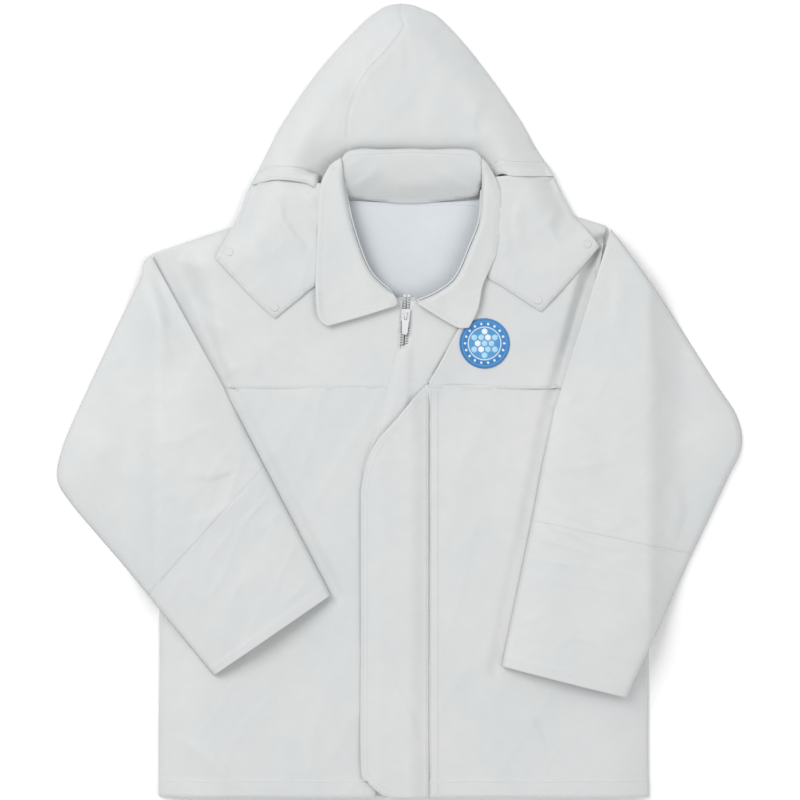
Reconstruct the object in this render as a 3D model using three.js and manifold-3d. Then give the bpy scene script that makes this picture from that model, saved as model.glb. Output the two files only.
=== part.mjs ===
// Hooded zip-front work jacket, laid flat on its back.
// Millimetres, +Z up. The back lies on Z = 0, the hood points along +Y, the wearer's left is +X.
// The origin is the middle of the footprint, on the surface that the jacket lies on.
import * as THREE from 'three';
import Module from 'manifold-3d';
import { mergeVertices } from 'three/addons/utils/BufferGeometryUtils.js';

const wasm = await Module();
wasm.setup();

// ---------- cloth and clearances ----------
const CLOTH = 1.2;            // one layer of coated cloth
const SEAM_GAP = 0.5;         // between two layers, or between two panels side by side
const HEM_GAP = 0.4;          // between small fittings and the cloth they sit on
const AIR = 18;               // room between the back and the front of the torso
const GRID = 15;              // spacing of the points that carry a draped sheet

// ---------- torso ----------
const CHEST_WIDTH = 608;
const CHEST_MID = 6;          // the torso lies a little to the wearer's left of the origin
const LOWER_LENGTH = 507;     // yoke seam to hem
const YOKE_SEAM_Y = 15;
const YOKE_LAP = 12;          // how far the back yoke laps over the back panel
const SIDE_ROLL = 60;         // width over which the front rises from the side seam
const SHOULDER_ROLL = 42;     // the same at the shoulder seam

// ---------- front opening ----------
const ZIP_SLANT = 0.055;      // sideways run of the zip for each millimetre towards the hem
const ZIP_TOP_Y = 127;
const ZIP_TOP_X = 9.5;
const ZIP_BOTTOM_GAP = 26;    // hem to the end of the zip
const TOOTH_WIDTH = 3;
const TOOTH_HEIGHT = 2.4;
const TEETH_SPLIT = 2;        // gap between the two rows, where the slider's post runs
const TAPE_WIDTH = 10;
const PANEL_TO_ZIP = 5;       // zip line to the folded edge of each front
const SLIDER_WIDTH = 11;
const SLIDER_LENGTH = 15;
const SLIDER_PLATE = 1.8;
const SLIDER_POST = 1.1;      // thickness of the post between the slider's two plates
const SLIDER_DROP = 22;       // top of the zip down to the middle of the slider at rest
const PULL_LENGTH = 24;
const PULL_THICK = 1.4;
const PULL_HALF = 4.4;
const PULL_EYE = 6;           // length of the window that the slider's bridge passes through
const PULL_RUN = 0.8;         // play between the bridge and the sides of that window
const BRIDGE_HALF = 4.4;
const BRIDGE_WIDE = 2.4;
const BRIDGE_THICK = 0.9;
const BRIDGE_LEG = 1.4;
const BRIDGE_PLAY = 0.4;      // between the pull and the bridge over it
const STOP_LENGTH = 3;
const BOX_LENGTH = 12;        // retainer box and insert pin
const FLAP_SEAM_X = 36;
const FLAP_WIDTH = 83;
const FLAP_CLEAR = 1;         // room between the slider and the storm flap over it
const TAB_WIDTH = 12;
const TAB_LENGTH = 50;
const TAB_THICK = 1.1;
const TAB_YS = [-150, -265, -380];

// ---------- collar ----------
const COLLAR_CLOTH = 1.6;
const COLLAR_WIDTH = 60;      // neck seam to the collar's edge at the back
const NECK_SEAM_Y = 248;
const NECK_MID = 16;
const COLLAR_HALF = 87;       // half the width of the collar's back between its two leaves
const ROLL_HEIGHT = 5;        // how far the rolled edge stands above the leaf
const ROLL_WIDTH = 22;
const COLLAR_FOOT = 8;        // how far the collar's back laps over the back yoke
const COLLAR_TURN = 3;        // run of the rolled edge beyond the collar's edge
const STAND_INSET = 3;        // rolled edge to the stand beneath it
const STAND_THICK = 2;
const LEAF_GRID = 10;

// ---------- hood ----------
const HOOD_FOLD_Y = 314;      // the line about which the crown folds forward
const HOOD_MID = 3;
const HOOD_AIR = 18;
const HOOD_ROLL = 42;
const HOOD_SUNK = 5;          // height of the brim's underside behind the collar
const DIP_MARGIN = 8;         // the hood is at its lowest this far beside the collar
const DIP_EASE = 42;          // sideways run over which it comes back up
const DIP_START = 22;         // the dip begins this far above the collar's edge
const DIP_LENGTH = 60;
const FLAP_REACH = 60;        // the hood flaps are level again this far below the hood's corners
const BRIM_CLOTH = 2;
const FLAP_TOP_Y = 258;       // upper edge of the hood's front flaps

// ---------- small fittings ----------
const SNAP_RADIUS = 6;
const STUD_THICK = 1.5;
const CAP_THICK = 2;
const SLOPE_ROOM = 0.5;       // extra height that a stud needs where the cloth slopes
const PATCH_RADIUS = 31;
const PATCH_THICK = 1.2;
const PATCH_AT = [106, 70];

// ---------- sleeves: lengths along each edge, and the directions they lie in, in degrees ----------
const SLEEVE_AIR = 13;
const SLEEVE_EDGE = 1.5;      // height of a sleeve's folded edge, besides its two layers
const SLEEVE_LIFT = 0.8;      // clearance of an upper sleeve above the front it lies on
const FOREARM_LIFT = 1.6;     // the same for a forearm
const ELBOW_ROUND = 40;
const SIDE_DROP = 50;         // width over which a sleeve comes down beside the torso
const RING_HALF = 11;         // points across a sleeve, on its underside and on its top
const RIGHT_SLEEVE = {
  shoulderOut: 10, shoulderY: 176, upper: 297, upperDir: -114.6, fore: 319, foreDir: -50.6,
  cuff: 176, cuffDir: 34.5, armhole: 184, armholeDir: -60.5, splitOuter: 0.6, splitInner: 0.38,
};
const LEFT_SLEEVE = {
  shoulderOut: -47, shoulderY: 212, upper: 307, upperDir: -56.62, fore: 357, foreDir: -114.9,
  cuff: 160, cuffDir: 165.8, armhole: 241, armholeDir: -107.4, splitOuter: 0.36, splitInner: 0.42,
};

// ---------- places that follow from the sizes above ----------
const SIDE_RIGHT = CHEST_MID - CHEST_WIDTH / 2;       // the wearer's right side seam
const SIDE_LEFT = CHEST_MID + CHEST_WIDTH / 2;
const HEM_Y = YOKE_SEAM_Y - LOWER_LENGTH;
const LOW_BACK = CLOTH + SEAM_GAP;
const LOW_YOKE = 2 * (CLOTH + SEAM_GAP);
const PLATEAU = CLOTH + AIR;
const FRONT_TOP = PLATEAU + CLOTH;
const FLAP_STACK = 2 * HEM_GAP + STUD_THICK + SLOPE_ROOM;   // a stud fits between front and flap
const LEAF_LEVEL = FRONT_TOP + FLAP_STACK + CLOTH + SEAM_GAP;
const ZIP_BOTTOM_Y = HEM_Y + ZIP_BOTTOM_GAP;
const ZIP_BASE = PLATEAU + CLOTH / 2 - TOOTH_HEIGHT / 2;
const TAPE_LOW = PLATEAU - SEAM_GAP - CLOTH;
const SLIDER_Y = ZIP_TOP_Y - SLIDER_DROP;
const SLIDER_TOP = Math.max(FRONT_TOP, ZIP_BASE + TOOTH_HEIGHT) + HEM_GAP + SLIDER_PLATE;
const PIVOT_Z = SLIDER_TOP + 0.6 + PULL_THICK / 2;
const BRIDGE_LOW = PIVOT_Z + PULL_THICK / 2 + BRIDGE_PLAY;
const FLAP_PLATEAU = BRIDGE_LOW + BRIDGE_THICK + FLAP_CLEAR;
const COLLAR_EDGE_Y = NECK_SEAM_Y + COLLAR_WIDTH;
const SHOULDER_RIGHT = [SIDE_RIGHT - 8, 181];
const SHOULDER_LEFT = [SIDE_LEFT - 53, 216];
const NECK_RIGHT = [NECK_MID - 95, 258];
const NECK_LEFT = [NECK_MID + 97, 260];

// ---------- plane geometry ----------
const zipX = (y) => ZIP_TOP_X - (ZIP_TOP_Y - y) * ZIP_SLANT;
const clamp01 = (v) => Math.min(1, Math.max(0, v));
const rise = (d, width) => Math.sin((Math.PI / 2) * clamp01(d / width));
const polar = ([x, y], length, degrees) => {
  const a = (degrees * Math.PI) / 180;
  return [x + length * Math.cos(a), y + length * Math.sin(a)];
};
const lerp = (a, b, t) => [a[0] + (b[0] - a[0]) * t, a[1] + (b[1] - a[1]) * t];

function distanceTo(path, x, y) {
  let best = Infinity;
  for (let i = 0; i + 1 < path.length; i += 1) {
    const [ax, ay] = path[i];
    const [bx, by] = path[i + 1];
    const t = clamp01(((x - ax) * (bx - ax) + (y - ay) * (by - ay)) / ((bx - ax) ** 2 + (by - ay) ** 2));
    best = Math.min(best, Math.hypot(x - ax - t * (bx - ax), y - ay - t * (by - ay)));
  }
  return best;
}

function belowLine(a, b, x, y) {
  const length = Math.hypot(b[0] - a[0], b[1] - a[1]);
  return ((x - a[0]) * (b[1] - a[1]) - (y - a[1]) * (b[0] - a[0])) / length;
}

// ---------- outlines of the hood ----------
const HOOD_TIP = [HOOD_MID, 492];
const HOOD_EDGE_RIGHT = [
  HOOD_TIP, [-24, 487], [-52, 461], [-103, 404], [-144, 344], [-160, 314],
  [-175, 284], [-190, 255], [-201, 221], [-208, 213],
];
const HOOD_EDGE_LEFT = [
  HOOD_TIP, [27, 486], [52, 473], [95, 425], [144, 357], [169, 314],
  [190, 281], [203, 253], [216, 229],
];
const outerEdge = (side) => (side < 0 ? HOOD_EDGE_RIGHT : HOOD_EDGE_LEFT);

// ---------- heights of the layers ----------
// Underside of the front of the torso: low at the side and shoulder seams, level in the middle.
function frontUnder(x, y) {
  const side = rise(Math.min(x - SIDE_RIGHT, SIDE_LEFT - x), SIDE_ROLL);
  const right = belowLine(SHOULDER_RIGHT, NECK_RIGHT, x, y);
  const left = belowLine(NECK_LEFT, SHOULDER_LEFT, x, y);
  const shoulder = rise(x < NECK_MID ? right : left, SHOULDER_ROLL);
  const low = y > YOKE_SEAM_Y ? LOW_YOKE : LOW_BACK;
  return low + (PLATEAU - low) * Math.min(side, shoulder);
}

// Underside of the collar's back, which leans up from the neck seam to the rolled edge.
function collarUnder(y) {
  const slope = (LEAF_LEVEL + ROLL_HEIGHT - LOW_YOKE) / (COLLAR_WIDTH + COLLAR_TURN);
  return LOW_YOKE + Math.max(0, y - NECK_SEAM_Y) * slope;
}

// Underside of the hood's front layer: it sinks behind the collar in the middle.
function hoodUnder(x, y) {
  const edge = Math.min(distanceTo(HOOD_EDGE_RIGHT, x, y), distanceTo(HOOD_EDGE_LEFT, x, y));
  const middle = 1 - clamp01((Math.abs(x - NECK_MID) - COLLAR_HALF - DIP_MARGIN) / DIP_EASE);
  const behind = middle * clamp01((COLLAR_EDGE_Y + DIP_START - y) / DIP_LENGTH);
  const full = CLOTH + HOOD_AIR;
  const sunk = full - (full - HOOD_SUNK) * behind;
  const free = LOW_BACK + (sunk - LOW_BACK) * rise(edge, HOOD_ROLL);
  const besideCollar = Math.abs(x - NECK_MID) > COLLAR_HALF + GRID || y > COLLAR_EDGE_Y + GRID;
  const brimStack = CLOTH + BRIM_CLOTH + 2 * SEAM_GAP;
  return besideCollar ? free : Math.min(free, Math.max(LOW_BACK, collarUnder(y) - brimStack));
}

// Underside of a hood flap: it clears the front by a stud, and meets the hood's edge above.
function flapUnder(x, y) {
  const edge = Math.min(distanceTo(HOOD_EDGE_RIGHT, x, y), distanceTo(HOOD_EDGE_LEFT, x, y));
  const own = LOW_BACK + (FRONT_TOP + FLAP_STACK - LOW_BACK) * rise(edge, HOOD_ROLL);
  const beyond = y > Math.max(HOOD_EDGE_RIGHT.at(-1)[1], HOOD_EDGE_LEFT.at(-1)[1]) - FLAP_REACH;
  const level = beyond ? own : FRONT_TOP + FLAP_STACK;
  return Math.max(level, frontUnder(x, y) + CLOTH + FLAP_STACK);
}

// ---------- solids ----------
function shapeOf(points) {
  return new THREE.Shape(points.map(([x, y]) => new THREE.Vector2(x, y)));
}

function counterClockwise(points) {
  return THREE.ShapeUtils.area(points.map(([x, y]) => new THREE.Vector2(x, y))) < 0
    ? [...points].reverse() : points;
}

function slab(points, low, high) {
  const options = { depth: high - low, bevelEnabled: false, curveSegments: 8 };
  const geometry = new THREE.ExtrudeGeometry(shapeOf(counterClockwise(points)), options);
  return geometry.translate(0, 0, low);
}

function toManifold(geometry) {
  const bare = geometry.clone();
  bare.deleteAttribute('normal');
  bare.deleteAttribute('uv');
  const merged = mergeVertices(bare, 1e-4);
  const vertProperties = new Float32Array(merged.attributes.position.array);
  const triVerts = new Uint32Array(merged.index.array);
  return new wasm.Manifold(new wasm.Mesh({ numProp: 3, vertProperties, triVerts }));
}

function fromManifold(solid) {
  const mesh = solid.getMesh();
  const geometry = new THREE.BufferGeometry();
  geometry.setAttribute('position', new THREE.BufferAttribute(new Float32Array(mesh.vertProperties), 3));
  geometry.setIndex(new THREE.BufferAttribute(new Uint32Array(mesh.triVerts), 1));
  geometry.computeVertexNormals();
  return geometry;
}

function lines(from, to, step) {
  const first = Math.floor(from / step) - 1;
  const last = Math.ceil(to / step) + 1;
  return Array.from({ length: last - first + 1 }, (_, i) => (first + i) * step);
}

// A slab between two height functions over a grid, as one closed geometry.
function heightBlock(xs, ys, under, over) {
  const nx = xs.length;
  const ny = ys.length;
  const positions = [];
  for (const height of [under, over]) {
    for (const y of ys) for (const x of xs) positions.push(x, y, height(x, y));
  }
  const index = [];
  const at = (layer, i, j) => layer * nx * ny + j * nx + i;
  for (let j = 0; j + 1 < ny; j += 1) {
    for (let i = 0; i + 1 < nx; i += 1) {
      index.push(at(1, i, j), at(1, i + 1, j), at(1, i + 1, j + 1));
      index.push(at(1, i, j), at(1, i + 1, j + 1), at(1, i, j + 1));
      index.push(at(0, i, j), at(0, i + 1, j + 1), at(0, i + 1, j));
      index.push(at(0, i, j), at(0, i, j + 1), at(0, i + 1, j + 1));
    }
  }
  const wall = (a, b) => {
    index.push(a, b, b + nx * ny);
    index.push(a, b + nx * ny, a + nx * ny);
  };
  for (let i = 0; i + 1 < nx; i += 1) {
    wall(at(0, i, 0), at(0, i + 1, 0));
    wall(at(0, i + 1, ny - 1), at(0, i, ny - 1));
  }
  for (let j = 0; j + 1 < ny; j += 1) {
    wall(at(0, nx - 1, j), at(0, nx - 1, j + 1));
    wall(at(0, 0, j + 1), at(0, 0, j));
  }
  const geometry = new THREE.BufferGeometry();
  geometry.setAttribute('position', new THREE.Float32BufferAttribute(positions, 3));
  geometry.setIndex(index);
  return geometry;
}

// A sheet of cloth cut to an outline and draped over a height function.
function drape(outline, under, thickness, stepX = GRID, stepY = GRID) {
  const xs = lines(Math.min(...outline.map((p) => p[0])), Math.max(...outline.map((p) => p[0])), stepX);
  const ys = lines(Math.min(...outline.map((p) => p[1])), Math.max(...outline.map((p) => p[1])), stepY);
  const sheet = toManifold(heightBlock(xs, ys, under, (x, y) => under(x, y) + thickness));
  const cutter = toManifold(slab(outline, -20, 90));
  return fromManifold(sheet.intersect(cutter));
}

// An open flattened tube: each station gives the points of its outer and of its inner ring.
function openTube(stations) {
  const count = stations[0].outer.length;
  const positions = [];
  for (const { outer, inner } of stations) {
    for (const p of [...outer, ...inner]) positions.push(...p);
  }
  const at = (s, ring, k) => s * 2 * count + ring * count + (k % count);
  const index = [];
  const quad = (a, b, c, d) => index.push(a, b, c, a, c, d);
  const last = stations.length - 1;
  for (let k = 0; k < count; k += 1) {
    for (let s = 0; s < last; s += 1) {
      quad(at(s, 0, k), at(s, 0, k + 1), at(s + 1, 0, k + 1), at(s + 1, 0, k));
      quad(at(s, 1, k), at(s + 1, 1, k), at(s + 1, 1, k + 1), at(s, 1, k + 1));
    }
    quad(at(0, 0, k + 1), at(0, 0, k), at(0, 1, k), at(0, 1, k + 1));
    quad(at(last, 0, k), at(last, 0, k + 1), at(last, 1, k + 1), at(last, 1, k));
  }
  const geometry = new THREE.BufferGeometry();
  geometry.setAttribute('position', new THREE.Float32BufferAttribute(positions, 3));
  geometry.setIndex(index);
  return geometry;
}

// ---------- assembly ----------
const group = new THREE.Group();
const COLOURS = {
  shell: [0xd9dcdb, 0.62, 0], inside: [0xdfe4e8, 0.7, 0], tape: [0xd2d6d8, 0.85, 0],
  resin: [0xe4e6e6, 0.4, 0], metal: [0xb9bcc0, 0.35, 0.8], patch: [0x2f74b0, 0.75, 0],
};

function add(name, geometry, finish) {
  const [color, roughness, metalness] = COLOURS[finish];
  const material = new THREE.MeshStandardMaterial({ color, roughness, metalness });
  const mesh = new THREE.Mesh(geometry, material);
  mesh.name = name;
  group.add(mesh);
  return mesh;
}

// Turns a fitting to lie on the cloth at a place, a set distance above the cloth's underside.
function seatOn(mesh, [x, y], under, offset) {
  const h = 4;
  const slopeX = (under(x + h, y) - under(x - h, y)) / (2 * h);
  const slopeY = (under(x, y + h) - under(x, y - h)) / (2 * h);
  const normal = new THREE.Vector3(-slopeX, -slopeY, 1).normalize();
  mesh.quaternion.setFromUnitVectors(new THREE.Vector3(0, 0, 1), normal);
  mesh.position.set(x, y, under(x, y)).addScaledVector(normal, offset);
}

// ---------- torso ----------
const NECK_CURVE_RIGHT = [[-79, 258], [-74, 215], [-58, 170], [-30, 135], [-2, ZIP_TOP_Y - 2]];
const NECK_CURVE_LEFT = [[113, 260], [110, 215], [92, 168], [62, 138], [26, ZIP_TOP_Y - 2]];
const ARMHOLE_RIGHT = [
  SHOULDER_RIGHT, [SIDE_RIGHT + 6, 120], [SIDE_RIGHT + 16, 60], [SIDE_RIGHT + 14, YOKE_SEAM_Y],
];
const ARMHOLE_LEFT = [
  SHOULDER_LEFT, [SIDE_LEFT - 62, 150], [SIDE_LEFT - 50, 80], [SIDE_LEFT - 30, YOKE_SEAM_Y],
];

function backPanel() {
  const outline = [
    [SIDE_RIGHT, HEM_Y], [SIDE_LEFT, HEM_Y], [SIDE_LEFT, -60], [SIDE_LEFT - 30, YOKE_SEAM_Y],
    [SIDE_RIGHT + 14, YOKE_SEAM_Y], [SIDE_RIGHT, -60],
  ];
  add('back_panel', slab(outline, 0, CLOTH), 'shell');
}

function backYoke() {
  const outline = [
    ...ARMHOLE_RIGHT.slice(0, 3), [SIDE_RIGHT + 14, YOKE_SEAM_Y - YOKE_LAP],
    [SIDE_LEFT - 30, YOKE_SEAM_Y - YOKE_LAP], ...ARMHOLE_LEFT.slice(0, 3).reverse(),
    NECK_LEFT, [NECK_LEFT[0] - 14, NECK_SEAM_Y], [NECK_RIGHT[0] + 14, NECK_SEAM_Y], NECK_RIGHT,
  ];
  add('back_yoke', slab(outline, LOW_BACK, LOW_BACK + CLOTH), 'inside');
}

function frontPanels() {
  const zipEdge = (y, side) => zipX(y) + side * PANEL_TO_ZIP;
  const seam = YOKE_SEAM_Y - SEAM_GAP / 2;
  const right = [
    [SIDE_RIGHT, HEM_Y], [zipEdge(HEM_Y, -1), HEM_Y], [zipEdge(seam, -1), seam],
    [SIDE_RIGHT + 14, seam], [SIDE_RIGHT, -60],
  ];
  const under = (x) => frontUnder(x, HEM_Y);
  add('front_panel_right', drape(right, under, CLOTH, GRID, LOWER_LENGTH), 'shell');
  const left = [
    [SIDE_LEFT, HEM_Y], [FLAP_SEAM_X + SEAM_GAP, HEM_Y], [FLAP_SEAM_X + SEAM_GAP, seam],
    [SIDE_LEFT - 30, seam], [SIDE_LEFT, -60],
  ];
  add('front_panel_left', drape(left, under, CLOTH, GRID, LOWER_LENGTH), 'shell');
}

const PLACKET_EDGE = [[FLAP_SEAM_X, YOKE_SEAM_Y], [42, 33], [58, 62], [74, 89], [56, 112]];

function frontYokes() {
  const seam = YOKE_SEAM_Y + SEAM_GAP / 2;
  const topX = zipX(ZIP_TOP_Y) - PANEL_TO_ZIP;
  const right = [
    [zipX(seam) - PANEL_TO_ZIP, seam], [topX, ZIP_TOP_Y - 4], ...[...NECK_CURVE_RIGHT].reverse(),
    SHOULDER_RIGHT, ARMHOLE_RIGHT[1], ARMHOLE_RIGHT[2], [SIDE_RIGHT + 14, seam],
  ];
  add('front_yoke_right', drape(right, frontUnder, CLOTH), 'shell');
  const left = [
    [FLAP_SEAM_X + SEAM_GAP, seam], ...PLACKET_EDGE.slice(1).map(([x, y]) => [x + SEAM_GAP, y]),
    [62, 138], [92, 168], [110, 215], NECK_LEFT, ...ARMHOLE_LEFT.slice(0, 3), [SIDE_LEFT - 30, seam],
  ];
  add('front_yoke_left', drape(left, frontUnder, CLOTH), 'shell');
}

// The strip beside the zip that the storm flap covers.
function placket() {
  const edge = (y) => zipX(y) + PANEL_TO_ZIP;
  const outline = [
    [edge(HEM_Y), HEM_Y], [FLAP_SEAM_X, HEM_Y], ...PLACKET_EDGE, [44, 118],
    [26, ZIP_TOP_Y - 4], [edge(ZIP_TOP_Y - 4), ZIP_TOP_Y - 4],
  ];
  add('zip_placket_left', slab(outline, PLATEAU, FRONT_TOP), 'shell');
}

// ---------- zip ----------
function alongZip(fromX, toX, topY, bottomY) {
  return [
    [zipX(bottomY) + fromX, bottomY], [zipX(bottomY) + toX, bottomY],
    [zipX(topY) + toX, topY], [zipX(topY) + fromX, topY],
  ];
}

function zip() {
  const tooth = TEETH_SPLIT / 2;
  const tape = tooth + TOOTH_WIDTH + HEM_GAP;
  for (const [name, side] of [['right', -1], ['left', 1]]) {
    const teeth = alongZip(side * tooth, side * (tooth + TOOTH_WIDTH), ZIP_TOP_Y, ZIP_BOTTOM_Y + BOX_LENGTH);
    add(`zip_teeth_${name}`, slab(teeth, ZIP_BASE, ZIP_BASE + TOOTH_HEIGHT), 'resin');
    const strip = alongZip(side * tape, side * (tape + TAPE_WIDTH), ZIP_TOP_Y, ZIP_BOTTOM_Y);
    add(`zip_tape_${name}`, slab(strip, TAPE_LOW, TAPE_LOW + CLOTH), 'tape');
    const stopY = ZIP_TOP_Y + HEM_GAP;
    const stop = alongZip(side * tooth, side * (tooth + TOOTH_WIDTH), stopY + STOP_LENGTH, stopY);
    add(`zip_stop_${name}`, slab(stop, ZIP_BASE, ZIP_BASE + TOOTH_HEIGHT), 'metal');
  }
  const boxTop = ZIP_BOTTOM_Y + BOX_LENGTH - HEM_GAP;
  const box = alongZip(tooth * 0.6, tooth + TOOTH_WIDTH, boxTop, ZIP_BOTTOM_Y);
  add('zip_retainer_box', slab(box, ZIP_BASE - 0.4, ZIP_BASE + TOOTH_HEIGHT + 0.4), 'resin');
  const pin = alongZip(-tooth - TOOTH_WIDTH, -tooth * 0.6, boxTop, ZIP_BOTTOM_Y);
  add('zip_insert_pin', slab(pin, ZIP_BASE, ZIP_BASE + TOOTH_HEIGHT), 'resin');
}

function slider() {
  const x = zipX(SLIDER_Y);
  const box = (w, l, low, high, y = 0) => {
    const g = new THREE.BoxGeometry(w, l, high - low);
    return toManifold(g.translate(0, y, (low + high) / 2));
  };
  const under = Math.min(ZIP_BASE, TAPE_LOW) - HEM_GAP - SLIDER_PLATE;
  const postLength = SLIDER_LENGTH - 5;
  const legY = BRIDGE_HALF - BRIDGE_LEG / 2;
  let body = box(SLIDER_WIDTH, SLIDER_LENGTH, SLIDER_TOP - SLIDER_PLATE, SLIDER_TOP);
  body = body.add(box(SLIDER_WIDTH, SLIDER_LENGTH, under, under + SLIDER_PLATE));
  body = body.add(box(SLIDER_POST, postLength, under, SLIDER_TOP));
  body = body.add(box(BRIDGE_WIDE, 2 * BRIDGE_HALF, BRIDGE_LOW, BRIDGE_LOW + BRIDGE_THICK));
  for (const side of [-1, 1]) {
    body = body.add(box(BRIDGE_WIDE, BRIDGE_LEG, SLIDER_TOP - 0.1, BRIDGE_LOW + 0.5, side * legY));
  }
  const mesh = add('zip_slider', fromManifold(body), 'metal');
  mesh.position.set(x, SLIDER_Y, 0);
  mesh.rotation.z = -Math.atan(ZIP_SLANT);
}

function pull() {
  const armIn = BRIDGE_WIDE / 2 + PULL_RUN;
  const bar = PULL_THICK / 2;
  const outline = shapeOf(counterClockwise([
    [-PULL_HALF, bar], [PULL_HALF, bar], [PULL_HALF, -7], [3.4, -PULL_LENGTH + 2], [1.8, -PULL_LENGTH],
    [-1.8, -PULL_LENGTH], [-3.4, -PULL_LENGTH + 2], [-PULL_HALF, -7],
  ]));
  const window = [[-armIn, -bar], [-armIn, -PULL_EYE], [armIn, -PULL_EYE], [armIn, -bar]];
  outline.holes.push(new THREE.Path(window.map(([x, y]) => new THREE.Vector2(x, y))));
  const g = new THREE.ExtrudeGeometry(outline, { depth: PULL_THICK, bevelEnabled: false });
  const mesh = add('zip_pull', g.translate(0, 0, -PULL_THICK / 2), 'metal');
  mesh.position.set(zipX(SLIDER_Y), SLIDER_Y, PIVOT_Z);
  mesh.rotation.z = -Math.atan(ZIP_SLANT);
}

// ---------- storm flap ----------
const TAB_RIGHT = FLAP_SEAM_X - FLAP_WIDTH + 2;
const HOOK_LOW = FRONT_TOP + HEM_GAP + TAB_THICK + HEM_GAP;
const FLAP_LOW = HOOK_LOW + TAB_THICK + HEM_GAP;

function stormFlapUnder(x) {
  const toSeam = clamp01((FLAP_SEAM_X - 6 - x) / 12);
  const toEdge = clamp01((x - TAB_RIGHT - TAB_WIDTH - 1) / 5);
  const low = x > 0 ? FRONT_TOP + SEAM_GAP : FLAP_LOW;
  return low + (FLAP_PLATEAU - low) * (x > 0 ? toSeam : toEdge);
}

function stormFlap() {
  const free = FLAP_SEAM_X - FLAP_WIDTH;
  const outline = [
    [FLAP_SEAM_X - SEAM_GAP, YOKE_SEAM_Y - 8], [14, 0], [-5, -24], [-26, -50], [-40, -77], [free, -112],
    [free, HEM_Y + 42], [free + 8, HEM_Y + 20], [free + 26, HEM_Y + 3], [free + 40, HEM_Y],
    [FLAP_SEAM_X - SEAM_GAP, HEM_Y],
  ];
  add('storm_flap', drape(outline, stormFlapUnder, CLOTH, 2.5, LOWER_LENGTH), 'shell');
  TAB_YS.forEach((y, i) => {
    const strip = [
      [TAB_RIGHT, y - TAB_LENGTH / 2], [TAB_RIGHT + TAB_WIDTH, y - TAB_LENGTH / 2],
      [TAB_RIGHT + TAB_WIDTH, y + TAB_LENGTH / 2], [TAB_RIGHT, y + TAB_LENGTH / 2],
    ];
    const loopLow = FRONT_TOP + HEM_GAP;
    add(`loop_tape_${i + 1}`, slab(strip, loopLow, loopLow + TAB_THICK), 'tape');
    add(`hook_tape_${i + 1}`, slab(strip, HOOK_LOW, HOOK_LOW + TAB_THICK), 'tape');
  });
}

// ---------- collar ----------
const LEAF_EDGE_RIGHT = [[-71, 308], [-70, 290], [-64, 249], [-53, 205], [-35, 160], [-9, 134]];
const LEAF_EDGE_LEFT = [[103, 306], [102, 260], [99, 223], [88, 193], [70, 153], [47, 134], [22, 123]];

function leafUnder(edge) {
  return (x, y) => LEAF_LEVEL + ROLL_HEIGHT * (1 - rise(distanceTo(edge, x, y), ROLL_WIDTH));
}

function leaf(side, outline, edge) {
  add(`collar_leaf_${side}`, drape(outline, leafUnder(edge), COLLAR_CLOTH, LEAF_GRID, LEAF_GRID), 'shell');
}

function collar() {
  const right = [
    ...LEAF_EDGE_RIGHT, [-2, 119], [-89, 92], [-100, 104], [-103, 149], [-98, 260], [-89, 285], [-81, 300],
  ];
  leaf('right', right, LEAF_EDGE_RIGHT);
  const left = [
    ...LEAF_EDGE_LEFT, [26, 118], [73, 90], [86, 90], [97, 112], [103, 141], [122, 186], [125, 260],
    [112, 290],
  ];
  leaf('left', left, LEAF_EDGE_LEFT);
  const back = [
    [NECK_MID - COLLAR_HALF + 1.5, COLLAR_EDGE_Y], [NECK_MID - COLLAR_HALF + 7, NECK_SEAM_Y + 2],
    [NECK_MID - 22, NECK_SEAM_Y - COLLAR_FOOT], [NECK_MID + 22, NECK_SEAM_Y - COLLAR_FOOT],
    [NECK_MID + COLLAR_HALF - 5, NECK_SEAM_Y + 2], [NECK_MID + COLLAR_HALF - 1.5, COLLAR_EDGE_Y],
  ];
  add('collar_back', drape(back, (x, y) => collarUnder(y), COLLAR_CLOTH, 3 * GRID, COLLAR_FOOT), 'inside');
  for (const [name, edge, side] of [['right', LEAF_EDGE_RIGHT, -1], ['left', LEAF_EDGE_LEFT, 1]]) {
    const run = edge.slice(2, 6).map(([x, y]) => [x + side * STAND_INSET, y - 1]);
    const band = [...run, ...run.map(([x, y]) => [x + side * STAND_THICK, y - 1]).reverse()];
    const top = LEAF_LEVEL + ROLL_HEIGHT * (1 - rise(STAND_INSET + STAND_THICK + 1, ROLL_WIDTH)) - SEAM_GAP;
    add(`collar_stand_${name}`, slab(band, FRONT_TOP + HEM_GAP, top), 'shell');
  }
}

// ---------- hood ----------
const BRIM_LOWER = [
  [-182, 267], [-154, 273], [-117, 269], [-98, 262], [0, 258], [113, 273], [125, 280], [144, 278], [191, 278],
];
const BRIM_DEPTH = 17;

const towardsFold = (path) => path.filter(([, y]) => y >= HOOD_FOLD_Y);

function hoodCrown() {
  const fold = HOOD_FOLD_Y + SEAM_GAP / 2;
  const base = (path) => towardsFold(path).map(([x, y]) => [x, Math.max(y, fold)]);
  const back = [...base(HOOD_EDGE_RIGHT), ...base(HOOD_EDGE_LEFT).slice(1).reverse()];
  add('hood_back', slab(back, 0, CLOTH), 'inside');
  for (const [name, side] of [['right', -1], ['left', 1]]) {
    const middle = HOOD_MID + (side * SEAM_GAP) / 2;
    const edge = base(outerEdge(side)).slice(1);
    const outline = [[middle, HOOD_TIP[1]], ...edge, [middle, fold]];
    add(`hood_${name}`, drape(outline, hoodUnder, CLOTH), 'shell');
  }
}

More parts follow.
